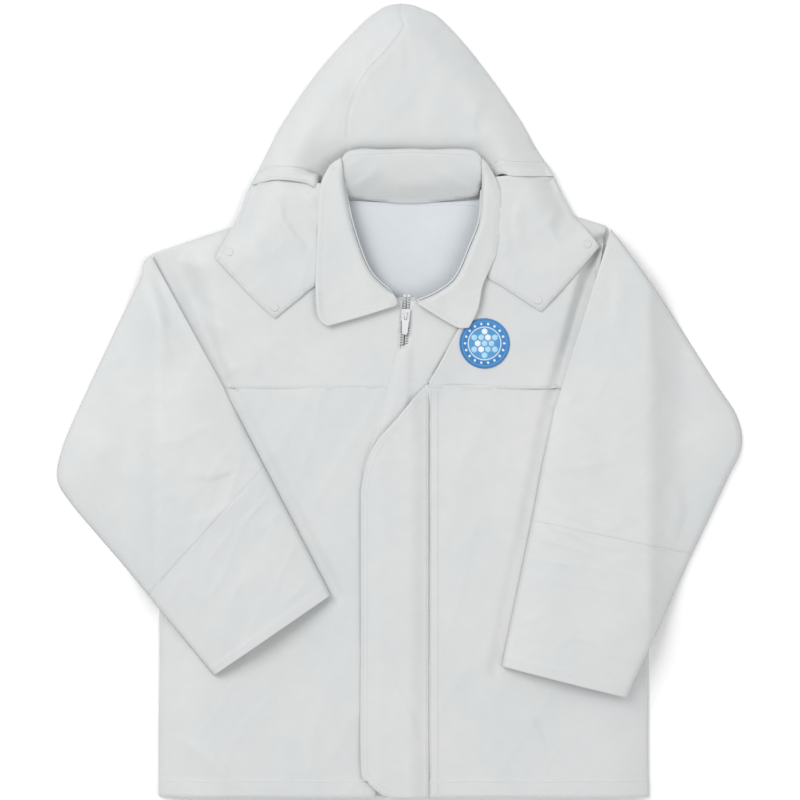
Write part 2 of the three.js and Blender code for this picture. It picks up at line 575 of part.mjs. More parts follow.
function hoodBase() {
  const fold = HOOD_FOLD_Y - SEAM_GAP / 2;
  const below = (path) => path.filter(([, y]) => y < HOOD_FOLD_Y);
  const nape = [
    [-160, fold], ...below(HOOD_EDGE_RIGHT), [-200, 196], [200, 196], ...below(HOOD_EDGE_LEFT).reverse(),
    [169, fold],
  ];
  add('hood_nape', slab(nape, 0, CLOTH), 'inside');
  for (const [name, side] of [['right', -1], ['left', 1]]) {
    const middle = HOOD_MID + (side * SEAM_GAP) / 2;
    const brim = BRIM_LOWER.filter(([x]) => side * (x - HOOD_MID) > 4);
    const ordered = side < 0 ? brim : [...brim].reverse();
    const corner = side < 0 ? [-160, fold] : [169, fold];
    const outline = [[middle, fold], corner, ...ordered, [middle, 259]];
    add(`hood_side_${name}`, drape(outline, hoodUnder, CLOTH), 'shell');
  }
  const upper = BRIM_LOWER.map(([x, y], i) => [x + (i === 0 ? 9 : 0) - (i === 8 ? 9 : 0), y + BRIM_DEPTH]);
  const band = [...BRIM_LOWER, ...upper.reverse()];
  const over = (x, y) => hoodUnder(x, y) + CLOTH + SEAM_GAP;
  add('hood_brim', drape(band, over, BRIM_CLOTH), 'shell');
}

const FLAP_HINGE_RIGHT = -104.5;
const FLAP_HINGE_LEFT = 127;
const FLAP_RIGHT = [
  [FLAP_HINGE_RIGHT - SEAM_GAP, FLAP_TOP_Y], [-188, FLAP_TOP_Y], [-201, 221], [-208, 213], [-227, 175],
  [-180, 125], [-154, 101], [FLAP_HINGE_RIGHT - SEAM_GAP, 141],
];
const FLAP_LEFT = [
  [FLAP_HINGE_LEFT + SEAM_GAP, FLAP_TOP_Y], [200, FLAP_TOP_Y], [216, 229], [248, 190], [176, 109],
  [FLAP_HINGE_LEFT + SEAM_GAP, 144],
];
const NECKBAND_RIGHT = [
  [FLAP_HINGE_RIGHT, FLAP_TOP_Y], [-82, FLAP_TOP_Y], [-74, 200], [-66, 158], [FLAP_HINGE_RIGHT, 141],
];
const NECKBAND_LEFT = [
  [FLAP_HINGE_LEFT, FLAP_TOP_Y], [116, FLAP_TOP_Y], [113, 200], [108, 158], [FLAP_HINGE_LEFT, 144],
];

function hoodFlaps() {
  add('hood_flap_right', drape(FLAP_RIGHT, flapUnder, CLOTH), 'shell');
  add('hood_flap_left', drape(FLAP_LEFT, flapUnder, CLOTH), 'shell');
  add('hood_neckband_right', drape(NECKBAND_RIGHT, flapUnder, CLOTH), 'shell');
  add('hood_neckband_left', drape(NECKBAND_LEFT, flapUnder, CLOTH), 'shell');
}

// A round fitting with a chamfered upper edge.
function disc(radius, thickness) {
  const profile = [
    [0, 0], [radius, 0], [radius, thickness * 0.6], [radius * 0.8, thickness], [0, thickness],
  ].map(([x, y]) => new THREE.Vector2(x, y));
  return new THREE.LatheGeometry(profile, 20).rotateX(Math.PI / 2);
}

const SNAPS = {
  right_corner: [-210, 183], right_tip: [-154, 115], left_corner: [233, 193], left_tip: [172, 124],
};

function snaps() {
  for (const [name, place] of Object.entries(SNAPS)) {
    const stud = add(`snap_stud_${name}`, disc(SNAP_RADIUS - 1, STUD_THICK), 'metal');
    seatOn(stud, place, frontUnder, CLOTH + HEM_GAP);
    const cap = add(`snap_cap_${name}`, disc(SNAP_RADIUS, CAP_THICK), 'resin');
    seatOn(cap, place, flapUnder, CLOTH + HEM_GAP);
  }
}

function patch() {
  const mesh = add('chest_patch', disc(PATCH_RADIUS, PATCH_THICK), 'patch');
  mesh.position.set(PATCH_AT[0], PATCH_AT[1], FRONT_TOP + HEM_GAP);
}

// ---------- sleeves ----------
// The plan of a sleeve: a point on its outer edge and one on its inner edge for each station.
function sleevePlan(sleeve, side) {
  const seam = side < 0 ? SIDE_RIGHT : SIDE_LEFT;
  const shoulder = [seam + side * sleeve.shoulderOut, sleeve.shoulderY];
  const elbow = polar(shoulder, sleeve.upper, sleeve.upperDir);
  const cuffOuter = polar(elbow, sleeve.fore, sleeve.foreDir);
  const cuffInner = polar(cuffOuter, sleeve.cuff, sleeve.cuffDir);
  const underarm = polar(shoulder, sleeve.armhole, sleeve.armholeDir);
  const before = lerp(elbow, shoulder, ELBOW_ROUND / sleeve.upper);
  const after = lerp(elbow, cuffOuter, ELBOW_ROUND / sleeve.fore);
  const v = ([x, y]) => new THREE.Vector2(x, y);
  const bend = new THREE.QuadraticBezierCurve(v(before), v(elbow), v(after));
  const arc = bend.getPoints(4).map((p) => [p.x, p.y]);
  const split = lerp(elbow, cuffOuter, sleeve.splitOuter);
  const splitInner = lerp(underarm, cuffInner, sleeve.splitInner);
  return { shoulder, underarm, arc, split, splitInner, cuffOuter, cuffInner };
}

// Underside of a sleeve: level over the torso, and down to the ground beside it.
function sleeveBase(x, lift) {
  const out = Math.max(SIDE_RIGHT - x, x - SIDE_LEFT);
  return SEAM_GAP + (FRONT_TOP + lift - SEAM_GAP) * (1 - rise(out, SIDE_DROP));
}

// Share of the sleeve's air at a place across it, straight between the points of a ring.
function puff(u) {
  const steps = RING_HALF - 1;
  const k = Math.min(Math.floor(u * steps), steps - 1);
  const at = (i) => Math.max(0, Math.sin((Math.PI * i) / steps)) ** 0.55;
  return at(k) + (at(k + 1) - at(k)) * (u * steps - k);
}

// One ring across the sleeve from its outer to its inner edge, swollen by the air inside.
function ring(outer, inner, air, lift) {
  const result = { outer: [], inner: [] };
  const width = Math.hypot(outer[0] - inner[0], outer[1] - inner[1]);
  const inset = (1.6 * CLOTH) / width;
  const point = (u, top, wall) => {
    const [x, y] = lerp(outer, inner, u);
    const base = sleeveBase(x, lift);
    return [x, y, top ? base + 2 * CLOTH + SLEEVE_EDGE + air * puff(u) - wall : base + wall];
  };
  for (let k = 0; k < 2 * RING_HALF; k += 1) {
    const top = k >= RING_HALF;
    const step = (k % RING_HALF) / (RING_HALF - 1);
    const u = top ? 1 - step : step;
    result.outer.push(point(u, top, 0));
    result.inner.push(point(inset + u * (1 - 2 * inset), top, CLOTH));
  }
  return result;
}

function sleeveHalves(name, sleeve, side) {
  const plan = sleevePlan(sleeve, side);
  const halfway = lerp(plan.shoulder, plan.arc[0], 0.5);
  const outerPath = [plan.shoulder, halfway, ...plan.arc, plan.split];
  const lengths = [0];
  for (let i = 1; i < outerPath.length; i += 1) {
    const [a, b] = [outerPath[i - 1], outerPath[i]];
    lengths.push(lengths[i - 1] + Math.hypot(b[0] - a[0], b[1] - a[1]));
  }
  const total = lengths.at(-1);
  const upperPairs = outerPath.map((p, i) => [p, lerp(plan.underarm, plan.splitInner, lengths[i] / total)]);
  const flatten = (i) => SLEEVE_AIR * rise(i + 0.4, 3);
  const upper = upperPairs.map(([o, i], k) => ring(o, i, flatten(k), SLEEVE_LIFT));
  const [splitX, splitY] = plan.split;
  const from = SEAM_GAP / Math.hypot(plan.cuffOuter[0] - splitX, plan.cuffOuter[1] - splitY);
  const lower = [0, 0.5, 1].map((t) => {
    const s = from + t * (1 - from);
    const outer = lerp(plan.split, plan.cuffOuter, s);
    const inner = lerp(plan.splitInner, plan.cuffInner, s);
    return ring(outer, inner, SLEEVE_AIR, FOREARM_LIFT);
  });
  add(`sleeve_upper_${name}`, orient(openTube(upper)), 'shell');
  add(`sleeve_forearm_${name}`, orient(openTube(lower)), 'shell');
}

// Turns every face over when the geometry's volume comes out negative.
function orient(geometry) {
  const p = geometry.attributes.position;
  const index = geometry.index.array;
  const [a, b, c] = [new THREE.Vector3(), new THREE.Vector3(), new THREE.Vector3()];
  let volume = 0;
  for (let i = 0; i < index.length; i += 3) {
    a.fromBufferAttribute(p, index[i]);
    b.fromBufferAttribute(p, index[i + 1]);
    c.fromBufferAttribute(p, index[i + 2]);
    volume += a.dot(b.cross(c));
  }
  if (volume < 0) {
    for (let i = 0; i < index.length; i += 3) [index[i + 1], index[i + 2]] = [index[i + 2], index[i + 1]];
  }
  return geometry;
}

backPanel();
backYoke();
frontPanels();
frontYokes();
placket();
zip();
slider();
pull();
stormFlap();
collar();
hoodCrown();
hoodBase();
hoodFlaps();
snaps();
patch();
sleeveHalves('right', RIGHT_SLEEVE, -1);
sleeveHalves('left', LEFT_SLEEVE, 1);

export default group;
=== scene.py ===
"""Looks of the hooded work jacket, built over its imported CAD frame."""

import math

import bpy
import numpy as np
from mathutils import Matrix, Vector
from mathutils.geometry import delaunay_2d_cdt


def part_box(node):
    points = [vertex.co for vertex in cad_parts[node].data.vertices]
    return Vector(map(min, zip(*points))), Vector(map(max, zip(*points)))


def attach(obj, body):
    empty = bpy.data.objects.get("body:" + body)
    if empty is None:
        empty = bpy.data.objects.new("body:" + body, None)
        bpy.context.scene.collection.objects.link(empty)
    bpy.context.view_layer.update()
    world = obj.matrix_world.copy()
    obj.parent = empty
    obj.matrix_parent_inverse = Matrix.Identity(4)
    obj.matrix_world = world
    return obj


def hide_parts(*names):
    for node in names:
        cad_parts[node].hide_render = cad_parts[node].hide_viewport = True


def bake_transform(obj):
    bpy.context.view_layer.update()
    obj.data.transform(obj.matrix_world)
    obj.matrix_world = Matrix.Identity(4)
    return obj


MM = 0.001
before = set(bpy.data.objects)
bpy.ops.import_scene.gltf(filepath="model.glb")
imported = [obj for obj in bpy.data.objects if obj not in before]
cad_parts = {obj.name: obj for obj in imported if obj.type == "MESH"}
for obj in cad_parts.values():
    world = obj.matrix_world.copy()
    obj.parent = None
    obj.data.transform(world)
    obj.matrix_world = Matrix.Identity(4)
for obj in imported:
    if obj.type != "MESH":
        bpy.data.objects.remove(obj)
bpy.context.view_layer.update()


# ---------- camera, floor and light ----------
CAMERA_LENS = 200
CAMERA_FRAME = 0.992  # width that the camera sees at the height it looks at
CAMERA_SIDE, LOOK_HEIGHT = 0.00124, 0.012
FLOOR_HALF, FLOOR_DROP = 6, 0.0006
FLOOR_TONE, FLOOR_ROUGH = (0.93, 0.93, 0.93, 1), 0.9
SKY_STRENGTH = 0.62


def make_camera():
    data = bpy.data.cameras.new("camera")
    data.lens = CAMERA_LENS
    camera = bpy.data.objects.new("camera", data)
    bpy.context.scene.collection.objects.link(camera)
    distance = CAMERA_FRAME * CAMERA_LENS / data.sensor_width
    camera.location = (CAMERA_SIDE, 0, distance + LOOK_HEIGHT)
    data.clip_end = 100
    bpy.context.scene.camera = camera


def area_light(name, place, size, power):
    data = bpy.data.lights.new(name, "AREA")
    data.size = size
    data.energy = power
    light = bpy.data.objects.new(name, data)
    bpy.context.scene.collection.objects.link(light)
    light.location = place
    light.rotation_euler = (-Vector(place)).to_track_quat("-Z", "Y").to_euler()


def make_studio():
    mesh = bpy.data.meshes.new("floor")
    corners = [(FLOOR_HALF * x, FLOOR_HALF * y, 0) for x, y in ((-1, -1), (1, -1), (1, 1), (-1, 1))]
    mesh.from_pydata(corners, [], [(0, 1, 2, 3)])
    floor = bpy.data.objects.new("floor", mesh)
    bpy.context.scene.collection.objects.link(floor)
    floor.location.z = -FLOOR_DROP
    material = bpy.data.materials.new("floor")
    material.use_nodes = True
    shader = material.node_tree.nodes["Principled BSDF"]
    shader.inputs["Base Color"].default_value = FLOOR_TONE
    shader.inputs["Roughness"].default_value = FLOOR_ROUGH
    mesh.materials.append(material)
    world = bpy.data.worlds.new("studio")
    world.use_nodes = True
    world.node_tree.nodes["Background"].inputs["Color"].default_value = (1, 1, 1, 1)
    world.node_tree.nodes["Background"].inputs["Strength"].default_value = SKY_STRENGTH
    bpy.context.scene.world = world
    area_light("key", (-2.7, 2.3, 4.2), 3.0, 160)
    area_light("fill", (2.8, -1.6, 4.4), 3.2, 66)
    bpy.context.scene.view_settings.view_transform = "Standard"


make_camera()
make_studio()


# ---------- sizes that come from the frame, in millimetres ----------
def box_mm(node):
    low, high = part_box(node)
    return np.array(low) / MM, np.array(high) / MM


BACK_LOW, BACK_HIGH = box_mm("back_panel")
SIDE_R, SIDE_L = BACK_LOW[0], BACK_HIGH[0]
HEM_Y, YOKE_Y = BACK_LOW[1], BACK_HIGH[1]
CLOTH = BACK_HIGH[2] - BACK_LOW[2]
PLATEAU, FRONT_TOP = (corner[2] for corner in box_mm("zip_placket_left"))
TEETH_FOOT, TEETH_TOP = (corner[2] for corner in box_mm("zip_teeth_left"))
LEAF_LEVEL = box_mm("collar_leaf_right")[0][2]
LOW_BACK, LOW_YOKE = 1.7, 3.4  # lowest that the layers over the back and over its yoke lie
SHOULDER_R, SHOULDER_L = (SIDE_R - 8, 181), (SIDE_L - 53, 216)
NECK_R, NECK_L = (-79, 258), (113, 260)
NECK_MID, HOOD_MID = 16, 3
FLAP_STACK = 2.8  # snaps and air between the front and a hood flap
SIDE_ROLL, SHOULDER_ROLL, HOOD_ROLL = 60, 42, 42  # width of each rounded edge
HOOD_LEVEL, HOOD_SUNK = 19.2, 5.0  # underside of the hood's front, and behind the collar
COLLAR_FOOT_Y, COLLAR_RUN, COLLAR_LIFT = 248, 63, 5
FLAP_END_Y = 165
ZIP_TOP_X, ZIP_TOP_Y, ZIP_SLANT = 9.5, 127, 0.055
FLAP_SEAM_X, FLAP_FREE_X = 36, -47


# ---------- plane geometry ----------
def ease(t):
    t = np.clip(t, 0, 1)
    return t * t * (3 - 2 * t)


def rise(d, width):
    return np.sin(np.pi / 2 * np.clip(d / width, 0, 1))


def along(x, y, path):
    """Signed distance to a path, positive on its left, and the share of its length at the nearest point."""
    p = np.array(path, float)
    seg = p[1:] - p[:-1]
    length = np.hypot(seg[:, 0], seg[:, 1])
    start = np.concatenate([[0], np.cumsum(length)[:-1]])
    best = np.full(np.shape(x), 1e9)
    signed, share = np.zeros(np.shape(x)), np.zeros(np.shape(x))
    for (px, py), (sx, sy), n, s in zip(p[:-1], seg, length, start):
        t = np.clip(((x - px) * sx + (y - py) * sy) / n**2, 0, 1)
        dx, dy = x - px - t * sx, y - py - t * sy
        d = np.hypot(dx, dy)
        near = d < best
        best = np.where(near, d, best)
        signed = np.where(near, np.where(sx * dy - sy * dx >= 0, d, -d), signed)
        share = np.where(near, (s + t * n) / length.sum(), share)
    return signed, share


def away(x, y, path):
    return np.abs(along(x, y, path)[0])


def offset(path, distance):
    """The path moved sideways, to its left for a positive distance."""
    p = np.array(path, float)
    run = np.gradient(p, axis=0)
    normal = np.stack([-run[:, 1], run[:, 0]], 1)
    normal /= np.maximum(np.hypot(normal[:, 0], normal[:, 1]), 1e-9)[:, None]
    return p + normal * distance


def spaced(path, step):
    """Points at even spacing along a path."""
    p = np.array(path, float)
    run = np.concatenate([[0], np.cumsum(np.hypot(*(p[1:] - p[:-1]).T))])
    count = max(2, int(round(run[-1] / step)) + 1)
    at = np.linspace(0, run[-1], count)
    return np.stack([np.interp(at, run, p[:, i]) for i in (0, 1)], 1)


def curve(points, step=4):
    """A smooth line through some points."""
    p = np.array(points, float)
    if len(p) < 3:
        return spaced(p, step)
    padded = np.vstack([2 * p[0] - p[1], p, 2 * p[-1] - p[-2]])
    t = np.linspace(0, 1, 12, endpoint=False)[:, None]
    rows = []
    for a, b, c, d in zip(padded, padded[1:], padded[2:], padded[3:]):
        square, cube = 2 * a - 5 * b + 4 * c - d, 3 * b - a - 3 * c + d
        rows.append(0.5 * (2 * b + (c - a) * t + square * t**2 + cube * t**3))
    return spaced(np.vstack([*rows, p[-1:]]), step)


SAME_POINT = 0.4


def joined(*paths):
    """One closed outline from paths that follow each other, without points that fall together."""
    rows = []
    for path in paths:
        for point in np.array(path, float):
            if not rows or np.hypot(*(point - rows[-1])) > SAME_POINT:
                rows.append(point)
    if np.hypot(*(rows[0] - rows[-1])) < SAME_POINT:
        rows.pop()
    return np.array(rows)


def within(x, y, outline):
    """Which points lie inside a closed outline."""
    result = np.zeros(np.shape(x), bool)
    for (ax, ay), (bx, by) in zip(outline, np.roll(outline, -1, 0)):
        if ay != by:
            crossing = (ay > y) != (by > y)
            result ^= crossing & (x < (bx - ax) * (y - ay) / (by - ay) + ax)
    return result


def cut_size(outline):
    """Width and length of the smallest rectangle, at any turn, that the cut fits in."""
    points, best = np.array(outline, float), None
    for degrees in range(0, 90, 3):
        a = math.radians(degrees)
        corners = points @ np.array([[math.cos(a), -math.sin(a)], [math.sin(a), math.cos(a)]])
        size = np.ptp(corners, axis=0) + 1
        if best is None or size[0] * size[1] < best[0] * best[1]:
            best = size
    return float(min(best)), float(max(best))


def plan_area(outline):
    x, y = np.array(outline, float).T
    return abs(np.dot(x, np.roll(y, -1)) - np.dot(y, np.roll(x, -1))) / 2


# ---------- uneven cloth ----------
def ripple(x, y, seed, wave, high, direction=0, stretch=1):
    """Soft undulation of about one wavelength, drawn out along a direction in degrees."""
    rng = np.random.default_rng(seed)
    a = math.radians(direction)
    u = (x * math.cos(a) + y * math.sin(a)) / stretch
    v = y * math.cos(a) - x * math.sin(a)
    total = 0
    for _ in range(7):
        turn, phase = rng.uniform(0, 2 * math.pi, 2)
        k = 2 * math.pi / (wave * rng.uniform(0.6, 1.6))
        total = total + np.sin(k * (u * math.cos(turn) + v * math.sin(turn)) + phase)
    return high * total / 2.6


def crumple(x, y, seed, wave, high, direction=0, stretch=1):
    """Sharp-backed creases, as coated cloth keeps from being folded."""
    soft = ripple(x, y, seed, wave, 1, direction, stretch)
    return high * (1 - np.minimum(1, np.abs(soft) * 1.6)) ** 2


def fold(x, y, path, width, high, steep=0, fade=0.3):
    """One fold along a path. steep 1 or -1 makes its left or right face sharp."""
    d, share = along(x, y, path)
    ends = ease(np.minimum(share, 1 - share) / fade)
    wide = np.where(d * steep > 0, width * 0.22, width)
    return high * ends * np.exp(-((d / wide) ** 2))


def folds(x, y, rows):
    return sum(fold(x, y, *row) for row in rows)


def band(x, y, path, width, high):
    """A raised strip, as where a seam allowance lies under the cloth: path is its middle."""
    return high * ease((width / 2 + 0.9 - away(x, y, path)) / 1.8)


# ---------- heights of the layers, in millimetres ----------
def below(a, b, x, y):
    """Distance from the line a to b, positive on its right."""
    return ((x - a[0]) * (b[1] - a[1]) - (y - a[1]) * (b[0] - a[0])) / math.dist(a, b)


def front(x, y):
    """Underside of the front of the torso."""
    side = rise(np.minimum(x - SIDE_R, SIDE_L - x), SIDE_ROLL)
    from_shoulder = np.where(x < NECK_MID, below(SHOULDER_R, NECK_R, x, y), below(NECK_L, SHOULDER_L, x, y))
    shoulder = rise(from_shoulder, SHOULDER_ROLL)
    low = LOW_BACK + (LOW_YOKE - LOW_BACK) * ease((y - YOKE_Y) / 12)
    return low + (PLATEAU - low) * np.minimum(side, shoulder)


def collar_rise(y):
    """The collar's back leans up from the neck seam to its rolled edge."""
    share = np.clip((y - COLLAR_FOOT_Y) / COLLAR_RUN, 0, 1.2)
    return LOW_YOKE + share * (LEAF_LEVEL + COLLAR_LIFT - LOW_YOKE)


HOOD_RIGHT = [
    (3, 492), (-11, 490), (-24, 484), (-52, 461), (-103, 404), (-144, 344), (-160, 314), (-175, 284),
    (-190, 255), (-201, 221), (-208, 213),
]
HOOD_LEFT = [
    (3, 492), (17, 490), (30, 485), (52, 473), (95, 425), (144, 357), (169, 314), (190, 281), (203, 253),
    (216, 229),
]


def hood_edge(x, y):
    return np.minimum(away(x, y, HOOD_RIGHT), away(x, y, HOOD_LEFT))


def hood_front(x, y):
    """Underside of the hood's front layer, which sinks behind the collar."""
    middle = ease((137 - np.abs(x - HOOD_MID)) / 46)
    behind = middle * ease((330 - y) / 62)
    low = HOOD_LEVEL - (HOOD_LEVEL - HOOD_SUNK) * behind
    free = LOW_BACK + (low - LOW_BACK) * rise(hood_edge(x, y), HOOD_ROLL)
    tucked = np.minimum(free, np.maximum(LOW_BACK, collar_rise(y) - 4.6))
    inner = ease((112 - np.abs(x - HOOD_MID)) / 16) * ease((326 - y) / 16)
    return free + (tucked - free) * inner


def flap_under(x, y):
    """Underside of the hood's two front flaps."""
    level = FRONT_TOP + FLAP_STACK
    edge = LOW_BACK + (level - LOW_BACK) * rise(hood_edge(x, y), HOOD_ROLL)
    return np.maximum(np.where(y > FLAP_END_Y, edge, level), front(x, y) + CLOTH + FLAP_STACK)


def zip_x(y):
    """Middle of the zip, which runs a little aslant."""
    return ZIP_TOP_X - (ZIP_TOP_Y - y) * ZIP_SLANT


def storm_under(x):
    """Underside of the storm flap, which rides over the teeth between its seam and its free edge."""
    hump = ease((FLAP_SEAM_X - x) / 24) * ease((x - FLAP_FREE_X) / 27)
    low = np.where(x > 0, 20.9, 23.8)
    return low + (27.6 - low) * hump


# ---------- materials ----------
def nodes_of(name):
    material = bpy.data.materials.new(name)
    material.use_nodes = True
    tree = material.node_tree
    return material, tree, tree.nodes["Principled BSDF"]


def linear(rgb):
    """Linear light from sRGB values of 0 to 255, none of them near black."""
    return tuple(((c / 255 + 0.055) / 1.055) ** 2.4 for c in rgb)


def add_node(tree, kind, **values):
    node = tree.nodes.new(kind)
    for key, value in values.items():
        if hasattr(node, key):
            setattr(node, key, value)
        else:
            node.inputs[key.replace("_", " ").title()].default_value = value
    return node


def mixed_colours(tree, factor, low, high):
    ramp = tree.nodes.new("ShaderNodeValToRGB")
    ramp.color_ramp.elements[0].position = 0.3
    ramp.color_ramp.elements[1].position = 0.7
    ramp.color_ramp.elements[0].color = (*low, 1)
    ramp.color_ramp.elements[1].color = (*high, 1)
    tree.links.new(factor, ramp.inputs["Fac"])
    return ramp.outputs["Color"]


def bump_on(tree, height, strength, distance, under=None):
    bump = tree.nodes.new("ShaderNodeBump")
    bump.inputs["Strength"].default_value = strength
    bump.inputs["Distance"].default_value = distance
    tree.links.new(height, bump.inputs["Height"])
    if under:
        tree.links.new(under, bump.inputs["Normal"])
    return bump.outputs["Normal"]


def surface(name, base, spread, rough, grain, crease=0.0, weave=0.0, metal=0.0, seed=0.0):
    """A procedural surface. base and spread are sRGB, rough is (low, high), grain is (scale, bump depth),
    crease and weave are bump depths in metres."""
    material, tree, shader = nodes_of(name)
    place = tree.nodes.new("ShaderNodeTexCoord")
    shift = add_node(tree, "ShaderNodeVectorMath", operation="ADD")
    shift.inputs[1].default_value = (seed, seed * 0.37, seed * 0.71)
    tree.links.new(place.outputs["Object"], shift.inputs[0])
    at = shift.outputs["Vector"]

    def noise(scale, detail, kind="FBM"):
        node = add_node(tree, "ShaderNodeTexNoise", scale=scale, detail=detail, noise_type=kind)
        tree.links.new(at, node.inputs["Vector"])
        return node.outputs["Fac"]

    dark = linear([c - s for c, s in zip(base, spread)])
    light = linear([c + s for c, s in zip(base, spread)])
    tone = mixed_colours(tree, noise(9, 4), dark, light)
    worn = tree.nodes.new("ShaderNodeMixRGB")
    worn.blend_type = "MULTIPLY"
    worn.inputs["Fac"].default_value = 1
    tree.links.new(tone, worn.inputs[1])
    tree.links.new(mixed_colours(tree, noise(70, 6), (0.972, 0.975, 0.978), (1, 1, 1)), worn.inputs[2])
    tree.links.new(worn.outputs["Color"], shader.inputs["Base Color"])
    spans = add_node(tree, "ShaderNodeMapRange")
    spans.inputs["To Min"].default_value, spans.inputs["To Max"].default_value = rough
    tree.links.new(noise(38, 5), spans.inputs["Value"])
    tree.links.new(spans.outputs["Result"], shader.inputs["Roughness"])
    normal = bump_on(tree, noise(grain[0], 3), 1, grain[1])
    if crease:
        normal = bump_on(tree, noise(24, 4, "RIDGED_MULTIFRACTAL"), 1, crease, normal)
        normal = bump_on(tree, noise(11, 3), 1, crease * 3, normal)
    if weave:
        for direction in ("X", "Y"):
            wave = add_node(tree, "ShaderNodeTexWave", scale=300, bands_direction=direction, distortion=0.4)
            tree.links.new(at, wave.inputs["Vector"])
            normal = bump_on(tree, wave.outputs["Fac"], 1, weave, normal)
    tree.links.new(normal, shader.inputs["Normal"])
    shader.inputs["Metallic"].default_value = metal
    return material


shell = surface("coated_cloth", (205, 207, 207), (3, 2, 1), (0.5, 0.64), (420, 0.00006), 0.00035, 0.00003)
inner = surface("inner_cloth", (206, 211, 215), (3, 3, 2), (0.6, 0.75), (300, 0.00008), 0.00025, 0.00005,
                seed=1.7)
thread = surface("thread", (212, 213, 212), (4, 4, 4), (0.6, 0.8), (900, 0.00005), seed=0.6)
tape_cloth = surface("zip_tape_cloth", (203, 206, 207), (4, 4, 4), (0.75, 0.9), (700, 0.00008), weave=0.00008,
                     seed=2.2)
hook_cloth = surface("hook_and_loop_cloth", (200, 202, 203), (6, 6, 6), (0.8, 0.95), (1500, 0.0004),
                     weave=0.0001, seed=4.4)
resin = surface("moulded_resin", (203, 205, 205), (4, 4, 4), (0.32, 0.46), (260, 0.00004), seed=5.2)
metal = surface("plated_metal", (220, 222, 224), (5, 5, 5), (0.28, 0.44), (340, 0.00003), metal=0.25,
                seed=6.3)
PATCH_THREADS = {
    "dark": ((58, 124, 184), (8, 9, 9), 7.1), "mid": ((70, 140, 194), (8, 8, 8), 8.1),
    "light": ((170, 212, 234), (8, 8, 8), 9.1), "white": ((228, 232, 234), (5, 5, 5), 9.7),
}
blue_dark, blue_mid, blue_light, white_thread = (
    surface(f"patch_thread_{tone}", base, spread, (0.55, 0.7), (900, 0.0001), seed=seed)
    for tone, (base, spread, seed) in PATCH_THREADS.items()
)


# ---------- meshes ----------
def make_object(name, points, faces, material, smooth=True):
    """A mesh from points in millimetres in the row frame."""
    mesh = bpy.data.meshes.new(name)
    mesh.from_pydata((np.array(points) * MM).tolist(), [], faces)
    mesh.polygons.foreach_set("use_smooth", [smooth] * len(mesh.polygons))
    mesh.materials.append(material)
    obj = bpy.data.objects.new(name, mesh)
    bpy.context.scene.collection.objects.link(obj)
    return obj


def bind(obj, rides):
    """rides is a body, or two bodies and two places in millimetres between which the piece would bend; the
    places are not used, and such a piece is only baked in place.
    """
    if isinstance(rides, str):
        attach(obj, rides)
        return
    body_a, body_b, start, end = rides
    tuple(np.array(start) * MM)
    tuple(np.array(end) * MM)
    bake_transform(obj)


def dress(obj, slot, rides, replaced=()):
    if replaced:
        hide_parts(*replaced)
    bind(obj, rides)
    return obj


def normals_of(points, faces):
    f = np.array(faces)
    flat = np.cross(points[f[:, 1]] - points[f[:, 0]], points[f[:, 2]] - points[f[:, 0]])
    total = np.zeros_like(points)
    for k in range(f.shape[1]):
        np.add.at(total, f[:, k], flat)
    return total / np.maximum(np.linalg.norm(total, axis=1), 1e-9)[:, None]


def thickened(points, faces, thick):
    """A closed cloth with a rounded rim, from its upper surface."""
    count = len(points)
    normal = normals_of(points, faces)
    owner = {}
    for face in faces:
        for a, b in zip(face, face[1:] + face[:1]):
            owner[a, b] = True
    rim = [(a, b) for a, b in owner if (b, a) not in owner]
    out = np.zeros_like(points)
    for a, b in rim:
        side = np.cross(points[b] - points[a], normal[a])
        side /= max(np.linalg.norm(side), 1e-9)
        out[a] += side
        out[b] += side
    border = sorted({a for edge in rim for a in edge})
    place = {a: 2 * count + i for i, a in enumerate(border)}
    out = out[border] / np.maximum(np.linalg.norm(out[border], axis=1), 1e-9)[:, None]
    middle = points[border] - normal[border] * thick / 2 + out * thick * 0.4
    solid = np.vstack([points, points - normal * thick, middle])
    made = [tuple(f) for f in faces] + [tuple(count + i for i in reversed(f)) for f in faces]
    for a, b in rim:
        made.append((b, a, place[a], place[b]))
        made.append((place[b], place[a], count + a, count + b))
    return solid, made


def filled(outline, step):
    """Points and triangles that fill an outline evenly."""
    edge = np.array(outline, float)
    low, high = edge.min(0), edge.max(0)
    rows = np.arange(low[1], high[1], step * 0.866)
    grid = [(x + (j % 2) * step / 2, y) for j, y in enumerate(rows) for x in np.arange(low[0], high[0], step)]
    x, y = np.array(grid).T
    closed = np.vstack([edge, edge[:1]])
    keep = within(x, y, edge) & (away(x, y, closed) > step * 0.55)
    points = [Vector(p) for p in edge] + [Vector(p) for p in np.stack([x[keep], y[keep]], 1)]
    ring = [(i, (i + 1) % len(edge)) for i in range(len(edge))]
    flat, _, faces, *_ = delaunay_2d_cdt(points, ring, [], 1, 1e-4)
    return np.array([tuple(p) for p in flat]), [tuple(f) for f in faces]


def panel(name, outline, height, replaced, rides="torso", slot="shell_cloth", material=shell, thick=1.2,
          step=4.5, stitched=()):
    """A cut piece of cloth. height gives its upper face, and stitched are the paths of its seams."""
    flat, faces = filled(outline, step)
    x, y = flat.T
    z = height(x, y)
    solid, made = thickened(np.column_stack([x, y, z]), faces, thick)
    obj = dress(make_object(name, solid, made, material), slot, rides, replaced)
    extras = [stitches(f"{name}_stitches", stitched, height, rides)] if len(stitched) else []
    wide, long = cut_size(outline)
    float(plan_area(outline) * MM * MM)
    return obj


STITCH, STITCH_GAP, STITCH_WIDE, STITCH_HIGH = 2.7, 0.8, 0.62, 0.34


